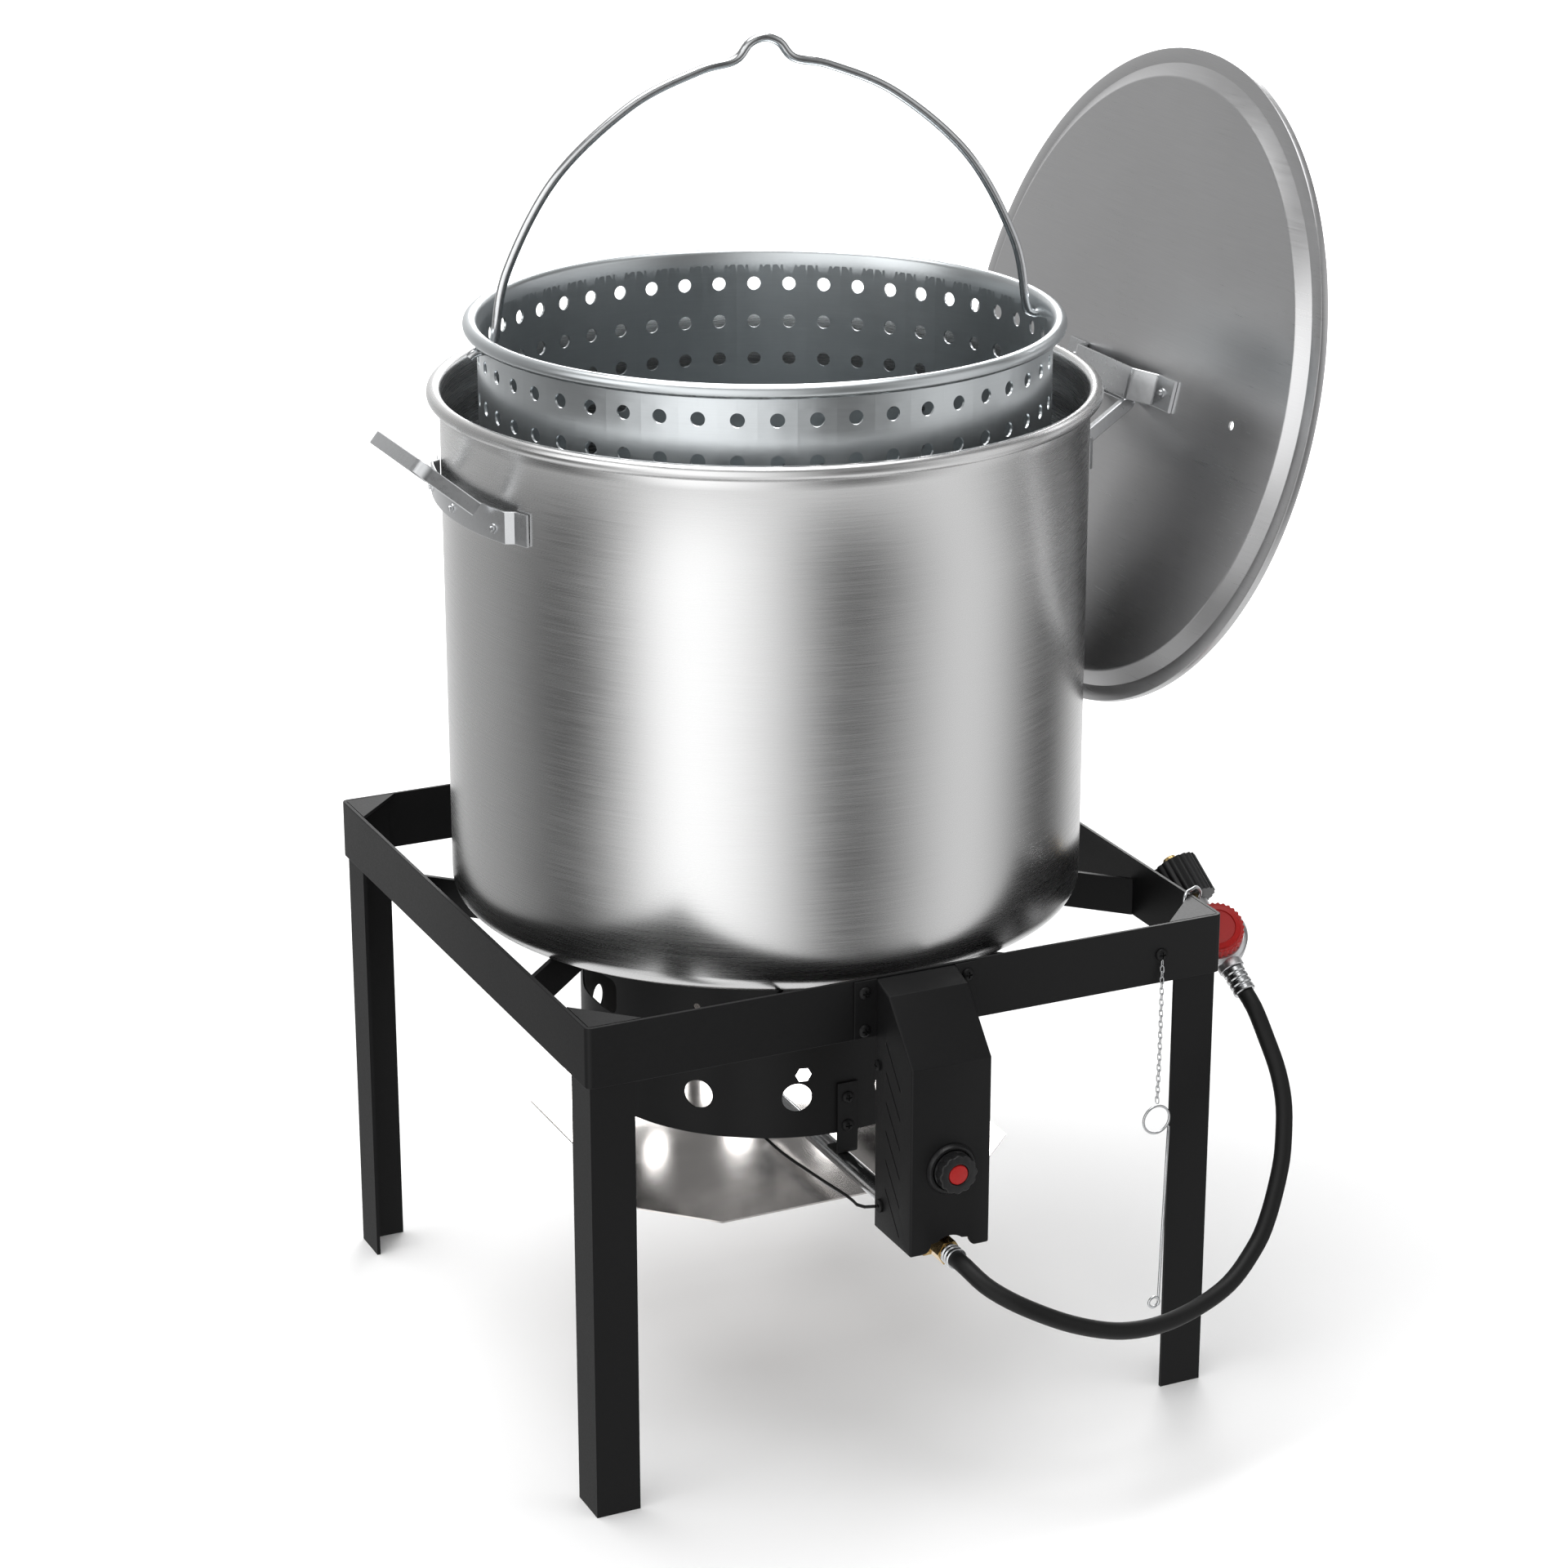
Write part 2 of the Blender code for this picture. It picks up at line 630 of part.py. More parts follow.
def make_control_box():
    """Sheet box, open behind and below, with flanges on the rail, louvres and a notch for the hose."""
    outline = BOX_PROFILE + [(BOX_REAR, BOX_BOTTOM)]
    cover = solid("control_box", prism(outline, 2 * BOX_HALF, -BOX_HALF), black_coat, rotation=FACING_RIGHT)
    top_slope = Vector(BOX_PROFILE[0]) - Vector(BOX_PROFILE[1])
    line = [tuple(Vector(BOX_PROFILE[0]) + top_slope)] + BOX_PROFILE[1:3] + [(BOX_FRONT, BOX_BOTTOM - DEEP)]
    hollow = offset_line(line, BOX_SHEET)
    hollow.append((hollow[0][0], BOX_BOTTOM - DEEP))
    inner_half = BOX_HALF - BOX_SHEET
    cut(cover, prism(hollow, 2 * inner_half, -inner_half), rotation=FACING_RIGHT)
    outer = BOX_HALF + FLANGE_WIDTH
    top = BOX_PROFILE[0][1]
    for side in (-1, 1):
        inner_x = side * (inner_half + BOX_SHEET / 3)
        left, right = sorted((inner_x, side * outer))
        join(cover, box((left, BOX_REAR - BOX_SHEET, FLANGE_BOTTOM), (right, BOX_REAR, top)))
    for i in range(LOUVRE_COUNT):
        start = LOUVRE_TOP - i * LOUVRE_PITCH
        end = start - LOUVRE_DROP
        slot = [(LOUVRE_REAR, start), (LOUVRE_FRONT, end), (LOUVRE_FRONT, end - LOUVRE_WIDTH)]
        slot.append((LOUVRE_REAR, start - LOUVRE_WIDTH))
        cut(cover, prism(slot, 0.08, -0.04), rotation=FACING_RIGHT)
    notch = [(-NOTCH_RADIUS, BOX_BOTTOM - DEEP), (NOTCH_RADIUS, BOX_BOTTOM - DEEP)]
    notch += arc((0, NOTCH_CENTRE_Z), NOTCH_RADIUS, 0, 180, 8)
    cut(cover, prism(notch, DEEP), (0, -0.265, 0), FACING_FRONT)
    cut(cover, rod(STEM_RADIUS + 0.0006, DEEP, 16), (0, -0.265, KNOB_Z), FACING_FRONT)
    cut(cover, rod(GROMMET_NECK + GAP, 0.02, 16), (-0.035, *GROMMET_PLACE), FACING_RIGHT)


def make_knob():
    """Knob with the igniter button in its middle and a bezel ring round it."""
    panel = (0, BOX_FRONT - GAP, KNOB_Z)
    bezel = [(0.0145, 0), (0.0175, 0), (0.0175, 0.0022), (0.0168, 0.003), (0.0145, 0.003)]
    solid("knob_bezel", turned(bezel, 32), black_plastic, panel, FACING_FRONT, smooth=True)
    floor = KNOB_DEPTH - 0.0050 - BUTTON_TRAVEL - GAP
    bore = BUTTON_RADIUS + GAP
    body = [
        (STEM_RADIUS + GAP, 0),
        (KNOB_RADIUS, 0),
        (KNOB_RADIUS, KNOB_DEPTH - 0.0012),
        (KNOB_RADIUS - 0.0012, KNOB_DEPTH),
        (bore, KNOB_DEPTH),
        (bore, floor),
        (STEM_RADIUS + GAP, floor),
    ]
    solid("gas_knob", turned(body, 28), black_plastic, panel, FACING_FRONT, smooth=True)
    back = KNOB_DEPTH - 0.0048
    button = [(0, back), (BUTTON_RADIUS, back), (BUTTON_RADIUS, KNOB_DEPTH - 0.0006)]
    button += [(BUTTON_RADIUS - 0.0006, KNOB_DEPTH), (0, KNOB_DEPTH)]
    solid("igniter_button", turned(button, 20), red_plastic, panel, FACING_FRONT, smooth=True)
    stem_end = BOX_FRONT - VALVE_FRONT + GAP
    stem = rod(STEM_RADIUS, floor - 0.0005 - stem_end, 20, stem_end)
    solid("valve_stem", stem, brass, panel, FACING_FRONT)


def make_valve():
    """Cast valve body: the knob's stem enters at the top, the inlet and the gas tube meet at the bottom."""
    block = box((-0.009, VALVE_FRONT, TUBE_Z - 0.009), (0.009, VALVE_REAR, KNOB_Z + 0.011))
    solid("gas_valve", block, brass)
    fitting = [(0.0045, 0), (0.0086, 0), (0.0086, 0.0190), (0.0045, 0.0190)]
    start = (0, VALVE_FRONT - GAP, TUBE_Z)
    solid("inlet_fitting", turned(fitting, 6), brass, start, FACING_FRONT)


def make_igniter():
    """Rubber grommet, wire and ceramic electrode beside the burner."""
    x = -BOX_HALF + BOX_SHEET
    lip = 0.0012
    profile = [
        (0.0014, -BOX_SHEET - lip - GAP),
        (0.0046, -BOX_SHEET - lip - GAP),
        (0.0046, -BOX_SHEET - GAP),
        (GROMMET_NECK, -BOX_SHEET - GAP),
        (GROMMET_NECK, GAP),
        (0.0046, GAP),
        (0.0046, GAP + lip),
        (0.0014, GAP + lip),
    ]
    solid("wire_grommet", turned(profile, 14), rubber, (x, *GROMMET_PLACE), (0, pi / 2, 0), smooth=True)
    rod_place = Vector((-0.064, 0, CROSSBAR_TOP + GAP))
    route = [
        (-0.0315, GROMMET_PLACE[0], GROMMET_PLACE[1]),
        (-0.0375, -0.226, 0.1855),
        (-0.036, -0.205, 0.183),
        (-0.040, -0.160, 0.181),
        (-0.047, -0.118, 0.1835),
        (-0.056, -0.065, 0.196),
        (-0.063, -0.024, 0.2105),
        (rod_place.x, -0.0048, 0.2125),
    ]
    wire("igniter_wire", smooth_route(route, 0.009), 0.0011, rubber)
    electrode = [(0, 0), (0.0042, 0), (0.0042, 0.030), (0.0016, 0.034), (0.0012, 0.058), (0, 0.058)]
    solid("igniter_electrode", turned(electrode, 16), ceramic, rod_place, smooth=True)


# Gas supply


def make_hose():
    """Rubber hose between its two crimped ferrules."""
    lower = [(0, 0), (0.0072, 0), (0.0072, 0.010), (0, 0.010)]
    start = HOSE_START + Vector((0, 0.010 + GAP, 0))
    solid("hose_ferrule_lower", turned(lower, 16), plated_steel, start, FACING_FRONT, smooth=True)
    wire("gas_hose", smooth_route(HOSE_ROUTE, 0.014), HOSE_RADIUS, rubber, resolution=2)
    upper = [(0, 0), (0.0078, 0), (0.0078, FERRULE_END - FERRULE_START), (0, FERRULE_END - FERRULE_START)]
    place = REGULATOR + FLOW * FERRULE_START
    solid("hose_ferrule_upper", turned(upper, 16), plated_steel, place, along(FLOW), smooth=True)


def make_regulator():
    """Regulator body with its dial, coupling nut and nipple, hung from the rail by a wire."""
    level = from_axes(FLOW.cross(DIAL_UP), FLOW, DIAL_UP)
    radius = REGULATOR_RADIUS
    disc = [(0, -0.0095), (radius - 0.004, -0.0095), (radius, -0.006), (radius, 0.0063)]
    disc += [(radius - 0.003, DISC_TOP), (0, DISC_TOP)]
    body = solid("regulator_body", turned(disc, 28), cast_grey, REGULATOR, level, smooth=True)
    join(body, rod(NECK_RADIUS, NECK_END + FERRULE_START - GAP, 20, -NECK_END), REGULATOR, along(FLOW))
    dial = [(0, 0), (0.0186, 0), (0.0186, 0.0100), (0.0170, 0.0115), (0, 0.0115)]
    dial_place = REGULATOR + DIAL_UP * (DISC_TOP + GAP)
    solid("regulator_dial", turned(dial, 28), red_plastic, dial_place, level, smooth=True)
    inlet = along(-FLOW)
    nut = [
        (0.0068, NUT_START),
        (0.0155, NUT_START),
        (0.0170, NUT_START + 0.003),
        (0.0170, 0.057),
        (0.0158, 0.060),
        (0.0115, 0.060),
        (0.0115, NUT_START + 0.006),
        (0.0068, NUT_START + 0.006),
    ]
    solid("coupling_nut", turned(nut, 24), black_plastic, REGULATOR, inlet, smooth=True)
    nipple = [(0, NECK_END + GAP), (0.0063, NECK_END + GAP), (0.0063, 0.061), (0.0045, 0.066), (0, 0.066)]
    solid("coupling_nipple", turned(nipple, 16), brass, REGULATOR, inlet, smooth=True)
    make_hanger()


def make_hanger():
    """Wire that goes round the regulator's neck and over the right rail."""
    radius = 0.0012
    middle = REGULATOR - FLOW * (REGULATOR_RADIUS + NECK_END) / 2
    side = FLOW.cross(DIAL_UP)
    reach = NECK_RADIUS + 2 * radius
    loop = []
    for step in range(9):
        angle = radians(90 - 30 * step)
        loop.append(middle + side * (reach * cos(angle)) + DIAL_UP * (reach * sin(angle)))
    over = STAND_HEIGHT + radius + GAP
    route = [
        (0.2205, -0.193, 0.336),
        (0.2205, -0.192, 0.3445),
        (0.2235, -0.1895, over + 0.0006),
        (0.2300, -0.1850, over + 0.0004),
        (0.2375, -0.1790, over - 0.0012),
        middle + DIAL_UP * 0.027,
        middle + DIAL_UP * 0.018,
    ] + loop
    wire("regulator_hanger", smooth_route(route, 0.006), radius, plated_steel)


# Lighting stick


def make_lighting_stick():
    """Screw, chain, split ring and the rod that holds a match or a striker at its coiled end."""
    outside = CHAIN_SCREW + Vector((0, -0.0028, 0))
    screw("chain_screw", black_coat, outside, FACING_FRONT, 0.0062)
    top = CHAIN_SCREW + Vector((0, -0.0015, -0.0040))
    bottom = RING_CENTRE + Vector((0, 0, RING_RADIUS + RING_WIRE + 0.0013 + GAP))
    leaving = top + Vector((-0.0003, -0.0025, -0.012))
    middle = top.lerp(bottom, 0.55) + Vector((0, -0.002, 0))
    route = [top, leaving, middle, bottom]
    wire("lighting_chain", smooth_route(route, 0.008), 0.00115, plated_steel)
    ring = [(RING_RADIUS * cos(a), 0, RING_RADIUS * sin(a)) for a in (2 * pi * i / 28 for i in range(20))]
    wire("lighting_ring", ring, RING_WIRE, plated_steel, RING_CENTRE, closed=True)
    rod_radius = 0.0011
    coil = [(-0.0038 + 0.0038 * cos(radians(a)), 0, 0.0038 * sin(radians(a))) for a in range(0, -300, -30)]
    line = [(0.0033, 0, 0.1297), (0, 0, 0.004)] + coil
    wire("lighting_rod", line, rod_radius, plated_steel, (0.1822, RING_CENTRE.y, 0.0755))


# Pot


def make_pot():
    """Stock pot turned from sheet, with a rolled rim bead."""
    top = POT_RIM_Z - POT_BEAD
    inner = POT_RADIUS - POT_WALL
    corner = POT_RADIUS - POT_CORNER
    inner_floor = POT_BASE + POT_WALL
    profile = [(0, POT_BASE)] + arc((corner, POT_BASE + POT_CORNER), POT_CORNER, -90, 0, 4)
    profile += [(POT_RADIUS, top)] + arc((POT_BEAD_RADIUS, POT_RIM_Z), POT_BEAD, -70, 160, 5)
    profile += [(inner, top)]
    profile += arc((corner, POT_BASE + POT_CORNER), POT_CORNER - POT_WALL, 0, -90, 3)
    profile += [(0, inner_floor)]
    solid("pot_shell", turned(profile, 56), aluminium, smooth=True)
    for name, side in (("left", 180), ("right", 0)):
        make_handle_bracket(name, side)
    make_handle("left", LEFT_GRIP, HANDLE_HALF)
    make_handle("right", RIGHT_GRIP, RIGHT_GRIP_HALF)


def make_handle_bracket(name, angle):
    """Curved strap that stands off the pot's wall, with a joggled foot at each end."""
    stand_off = BRACKET_OUTER - BRACKET_THICKNESS / 2
    on_wall = POT_RADIUS + 0.0005 + BRACKET_THICKNESS / 2
    line = arc((0, 0), on_wall, -21.5, -18.2, 2)
    line += arc((0, 0), stand_off, -16.6, 16.6, 12)
    line += arc((0, 0), on_wall, 18.2, 21.5, 2)
    shape = strap(line, BRACKET_THICKNESS, BRACKET_WIDTH, BRACKET_BOTTOM)
    solid(f"handle_bracket_{name}", shape, aluminium, rotation=(0, 0, radians(angle)), smooth=True)


def make_handle(name, grip, half_grip):
    """U-shaped handle bar that slopes up and outward from its bracket to its grip."""
    root_point = Vector((HANDLE_ROOT, HANDLE_Z))
    slope = Vector(grip) - root_point
    rise = atan2(slope.y, slope.x)
    behind = sqrt(BRACKET_OUTER**2 - (HANDLE_HALF - HANDLE_BAR / 2) ** 2)
    start = (behind + 3 * GAP + HANDLE_DEPTH / 2 * sin(rise) - HANDLE_ROOT) / cos(rise)
    length = slope.length
    line = [(start, -HANDLE_HALF), (length, -half_grip), (length, half_grip), (start, HANDLE_HALF)]
    shape = strap(rounded(line, 0.007, 3), HANDLE_BAR, HANDLE_DEPTH)
    turn = pi if name == "left" else 0
    location = (HANDLE_ROOT * cos(turn), 0, HANDLE_Z)
    rotation = Matrix.Rotation(turn, 3, "Z") @ Matrix.Rotation(-rise, 3, "Y")
    solid(f"pot_handle_{name}", shape, aluminium, location, rotation.to_euler(), smooth=True)


# Lid


def make_lid():
    """Stepped lid: raised middle, bevelled step and flat flange with a short lip."""
    rim = LID_RADIUS
    under = LID_RAISE - LID_SHEET
    profile = [(0, LID_RAISE), (LID_PANEL_RADIUS, LID_RAISE), (LID_STEP_RADIUS, 0), (rim - 0.001, 0)]
    profile += [(rim, -0.001), (rim, -0.005), (rim - LID_SHEET, -0.005), (rim - LID_SHEET, -LID_SHEET)]
    profile += [(LID_STEP_RADIUS - 0.0007, -LID_SHEET), (LID_PANEL_RADIUS - 0.0007, under), (0, under)]
    level = from_axes(LID_UP, LID_NORMAL.cross(LID_UP), LID_NORMAL)
    lid = solid("lid", turned(profile, 56), aluminium, LID_CENTRE, level, smooth=True)
    vent = LID_CENTRE + LID_UP * -0.0015 + Vector((0, -0.1468, 0))
    cut(lid, rod(VENT_RADIUS, DEEP, 16, -DEEP / 2), vent, level)
    foot = LID_RAISE + GAP + LID_HANDLE_STRAP / 2
    top = LID_HANDLE_RISE
    corners = [(-0.0725, foot), (-0.0505, foot), (-0.038, top), (0.038, top), (0.0505, foot), (0.0725, foot)]
    line = rounded(corners, 0.005)
    shape = strap(line, LID_HANDLE_STRAP, LID_HANDLE_WIDTH)
    across = Vector((0, 1, 0))
    handle_level = from_axes(across, LID_NORMAL, across.cross(LID_NORMAL))
    solid("lid_handle", shape, aluminium, LID_CENTRE, handle_level, smooth=True)


# Basket


def make_basket():
    """Basket with a rolled rim, and the bail that swings in two holes under the rim."""
    inner = BASKET_RADIUS - BASKET_WALL
    corner = BASKET_CORNER
    top = BASKET_RIM_Z - BASKET_BEAD
    base = BASKET_BOTTOM
    profile = [(0, base)] + arc((BASKET_RADIUS - corner, base + corner), corner, -90, 0, 3)
    profile += [(BASKET_RADIUS, top)] + arc((BASKET_RIM_RADIUS, BASKET_RIM_Z), BASKET_BEAD, -120, 160, 5)
    profile += [(inner, top)]
    profile += arc((BASKET_RADIUS - corner, base + corner), corner - BASKET_WALL, 0, -90, 3)
    profile += [(0, base + BASKET_WALL)]
    turn = (0, 0, BASKET_TURN)
    basket = solid("basket", turned(profile, 48), aluminium, rotation=turn, smooth=True)
    across = (pi / 2, 0, pi / 2 + BASKET_TURN)
    cut(basket, rod(BAIL_WIRE + 0.0005, 0.5, 12, -0.25), (0, 0, BAIL_Z), across)
    half = [
        (0.1965, 0),
        (0.1875, 0),
        (0.1835, 0.0022),
        (0.1815, 0.0075),
        (0.1725, 0.051),
        (0.1400, 0.109),
        (0.0900, 0.153),
        (0.0450, 0.1735),
        (0.0200, 0.1795),
        (0.0100, 0.1900),
        (0, 0.1935),
    ]
    line = [(x, 0, z) for x, z in half] + [(-x, 0, z) for x, z in reversed(half[:-1])]
    wire("bail", smooth_route(line, 0.012), BAIL_WIRE, plated_steel, (0, 0, BAIL_Z), turn, resolution=2)


clear_scene()
root = bpy.data.objects.new("fryer_root", None)
root.location = ROOT_SHIFT
bpy.context.scene.collection.objects.link(root)

black_coat = material("black_coat", (0.013, 0.013, 0.014), 0.45, 0.0)
cast_iron = material("cast_iron", (0.03, 0.03, 0.03), 0.7, 0.6)
mirror_steel = material("mirror_steel", (0.75, 0.75, 0.76), 0.12, 1.0)
aluminium = material("aluminium", (0.72, 0.72, 0.73), 0.35, 1.0)
plated_steel = material("plated_steel", (0.62, 0.62, 0.63), 0.25, 1.0)
brass = material("brass", (0.72, 0.52, 0.22), 0.3, 1.0)
cast_grey = material("cast_grey", (0.45, 0.45, 0.46), 0.45, 0.9)
black_plastic = material("black_plastic", (0.02, 0.02, 0.02), 0.4, 0.0)
red_plastic = material("red_plastic", (0.6, 0.02, 0.02), 0.35, 0.0)
rubber = material("rubber", (0.015, 0.015, 0.015), 0.6, 0.0)
ceramic = material("ceramic", (0.85, 0.84, 0.8), 0.4, 0.0)

make_rails()
make_corners()
make_support_bars()
make_shroud()
make_crossbar()
make_burner_head()
make_gas_tube()
make_tube_bracket()
make_heat_shield()
make_control_box()
make_knob()
make_valve()
make_igniter()
make_hose()
make_regulator()
make_lighting_stick()
make_pot()
make_lid()
make_basket()
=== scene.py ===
"""Turkey fryer kit: the finished look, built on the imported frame.

Places are given as in the CAD model, in metres from the middle of the stand at floor level.
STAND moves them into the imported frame.
"""

import json
from math import acos, atan2, ceil, cos, pi, radians, sin, sqrt, tan

import bpy
from mathutils import Euler, Matrix, Vector


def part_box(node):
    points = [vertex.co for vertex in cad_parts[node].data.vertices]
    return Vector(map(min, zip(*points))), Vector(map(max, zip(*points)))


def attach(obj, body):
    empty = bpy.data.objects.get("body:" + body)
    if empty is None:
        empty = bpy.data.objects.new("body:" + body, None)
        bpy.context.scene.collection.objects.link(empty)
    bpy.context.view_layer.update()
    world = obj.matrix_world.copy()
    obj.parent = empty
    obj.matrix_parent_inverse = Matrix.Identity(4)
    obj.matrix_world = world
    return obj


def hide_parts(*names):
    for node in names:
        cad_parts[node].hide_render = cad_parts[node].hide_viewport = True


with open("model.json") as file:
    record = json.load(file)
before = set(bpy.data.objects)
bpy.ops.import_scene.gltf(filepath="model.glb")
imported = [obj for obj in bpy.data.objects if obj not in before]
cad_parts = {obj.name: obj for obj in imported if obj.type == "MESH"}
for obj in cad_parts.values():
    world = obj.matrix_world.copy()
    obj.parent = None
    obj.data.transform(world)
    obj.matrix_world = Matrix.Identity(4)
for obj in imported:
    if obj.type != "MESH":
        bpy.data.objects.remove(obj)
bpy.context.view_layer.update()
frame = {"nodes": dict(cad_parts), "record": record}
shroud_low, shroud_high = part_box("burner_shroud")
STAND = Vector((*((shroud_low + shroud_high) / 2).xy, 0))

# Stand
HALF_STAND = 0.2285
STAND_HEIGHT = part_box("front_rail")[1].z
BAND_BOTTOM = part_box("front_rail")[0].z
BAND_THICKNESS = 0.0027
RAIL_INNER = HALF_STAND - BAND_THICKNESS
CORNER_BEND = 0.0045
SHEET_EDGE = 0.0004
FOLDED_SHEET = (
    "gusset",
    "leg_",
    "support_bar",
    "tube_bracket",
    "burner_crossbar",
    "shield_hanger",
    "heat_shield",
)

# Camera, in the stand's frame
CAMERA_PLACE = Vector((-1.1029, -2.3834, 1.3487))
CAMERA_PITCH = radians(19.895)
CAMERA_YAW = radians(25.106)
CAMERA_LENS = 93.63

# Studio. PANELS gives its brightness by compass direction in degrees, as a share of its strength.
STUDIO_STRENGTH = 1.7
HIGH_LEVEL = 0.16
HIGH_STARTS = 0.42
HIGH_ENDS = 0.80
LOW_LEVEL = 0.55
LOW_STARTS = -0.42
LOW_ENDS = -0.85
SKY_POWER = 1.75
SKY_WIDTH = radians(60)
SKY_LEAN = (radians(-6), radians(-4), 0)
PAPER_HALF = 30
PAPER_SHADE = 0.93
GLOW_STARTS = 0.70
GLOW_ENDS = 1.9
GLOW_MOST = 0.7
PANELS = [
    (-180, 0.08),
    (-168, 0.30),
    (-154, 0.85),
    (-140, 1.0),
    (-122, 0.75),
    (-106, 0.50),
    (-92, 0.04),
    (-78, 0.04),
    (-60, 0.34),
    (-40, 0.62),
    (-22, 0.40),
    (-4, 0.02),
    (10, 0.02),
    (28, 0.40),
    (62, 0.85),
    (100, 0.30),
    (130, 0.25),
    (152, 0.14),
    (168, 0.02),
    (180, 0.08),
]

# Soft lights: name, place, target, width, height and power.
LIGHTS = [
    ("top", (-0.2, 0.1, 2.8), (0, 0, 0.3), 1.2, 1.2, 22),
    ("side", (-3.0, -0.2, 1.7), (0.3, 0, 0.7), 1.8, 2.4, 20),
    ("burner_glow", (0, 0.02, 0.19), (0, 0, 0), 0.16, 0.16, 0.013),
    ("back", (2.0, 3.2, 2.1), (0, 0, 0.4), 1.8, 1.8, 55),
]

FACING_FRONT = (pi / 2, 0, 0)
FACING_RIGHT = (pi / 2, 0, pi / 2)
FACING_LEFT = (pi / 2, 0, -pi / 2)

# Burner
SHROUD_RADIUS = 0.129
SHROUD_WALL = 0.0012
SHROUD_BOTTOM = shroud_low.z
SHROUD_TOP = shroud_high.z
AIR_HOLE_COUNT = 12
AIR_HOLE_FIRST = -135.6
AIR_HOLE_RADIUS = 0.0102
AIR_HOLE_Z = 0.2205
SHROUD_INSIDE = 0.115
# The shroud's two single holes: radius, sides, height and bearing in degrees.
SINGLE_HOLES = [(0.0056, 6, 0.2367, -103.6), (0.0025, 16, 0.284, -135.8)]
WINDOW_WIDTH = 0.060
WINDOW_HEIGHT = 0.0244
WINDOW_CORNER = 0.006
WINDOW_Z = 0.2729
DEEP = 0.03
BURNER_TOP = 0.262
BURNER_RADIUS = 0.048
BURNER_BASE = 0.2063
TUBE_RADIUS = 0.0066
ELBOW_RADIUS = 0.018
SPUD_BOTTOM = 0.2035
FLAME_PORTS = 30
VALVE_REAR = -0.244
BRACKET_SCREWS = (0.2173, 0.1968)
BRACKET_FACE = -0.1308

# Control box
BOX_HALF = 0.0285
BOX_REAR = -0.2288
BOX_SHEET = 0.0015
BOX_FRONT = -0.2814
BOX_BOTTOM = 0.1707
BOX_TOP = 0.3457
BOX_PROFILE = [(BOX_REAR, BOX_TOP), (-0.2474, 0.3397), (BOX_FRONT, 0.3015), (BOX_FRONT, BOX_BOTTOM)]
FLANGE_OUTER = 0.0442
FLANGE_BOTTOM = 0.306
FLANGE_SCREW_X = 0.0371
FLANGE_SCREWS = (0.3375, 0.3113)
KNOB_PLACE = Vector((0, BOX_FRONT - 0.0003, 0.2288))
KNOB_RADIUS = 0.0135
KNOB_DEPTH = 0.0112
BUTTON_RADIUS = 0.0067
LOUVRE_COUNT = 6
LOUVRE_TOP = 0.3076
LOUVRE_PITCH = 0.0205
LOUVRE_REAR = -0.2445
LOUVRE_FRONT = -0.265
LOUVRE_DROP = 0.0258
LOUVRE_WIDTH = 0.0018
NOTCH_HALF = 0.0205
NOTCH_CORNER = 0.007
NOTCH_RADIUS = 0.0135

# Lighting stick
CHAIN_TOP = Vector((0.1823, -0.230, 0.3214))
CHAIN_BOTTOM = Vector((0.1759, -0.240, 0.2240))
CHAIN_LINKS = 26
RING_CENTRE = Vector((0.1759, -0.240, 0.2117))
RING_RADIUS = 0.0098
RING_WIRE = 0.0009
ROD_PLACE = Vector((0.1822, -0.240, 0.0755))
ROD_RADIUS = 0.0010
EYE_RADIUS = 0.0038
EYE_STEPS = 40
LINK_HALF = 0.00255
LINK_HALF_WIDTH = 0.0012
LINK_WIRE = 0.00038

# Pot
POT_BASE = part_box("pot_shell")[0].z
POT_RADIUS = 0.2152
POT_WALL = 0.002
POT_CORNER = 0.012
POT_RIM_Z = 0.679
POT_BEAD_RADIUS = 0.2189
POT_BEAD = 0.00476
HANDLE_ROOT = 0.217
HANDLE_Z = 0.6278
BRACKET_OUTER = 0.2222
BRACKET_BOTTOM = 0.6135
BRACKET_WIDTH = 0.0215
BRACKET_THICKNESS = 0.002
HANDLE_BAR = 0.005
HANDLE_DEPTH = 0.0095
HANDLE_HALF = 0.043
LEFT_GRIP = (0.259, 0.663)
RIGHT_GRIP = (0.2628, 0.6482)
RIGHT_HALF = 0.030
RIVETS = (-14.2, 0, 14.2)
RIVET_Z = 0.6215

# Lid
LID_RADIUS = 0.226
LID_CENTRE = Vector((0.277, 0, 0.656))
LID_TILT = radians(13.5)
LID_NORMAL = Vector((-cos(LID_TILT), 0, sin(LID_TILT)))
LID_UP = Vector((sin(LID_TILT), 0, cos(LID_TILT)))
LID_PANEL_RADIUS = 0.2055
LID_STEP_RADIUS = 0.2155
LID_RAISE = 0.0063
LID_SHEET = 0.0015
LID_HANDLE_RISE = 0.022
LID_HANDLE_WIDTH = 0.022
LID_HANDLE_STRAP = 0.0025
LID_RIVET_Y = 0.0600
VENT_RADIUS = 0.003
VENT_PLACE = LID_CENTRE + LID_UP * -0.0015 + Vector((0, -0.1468, 0))

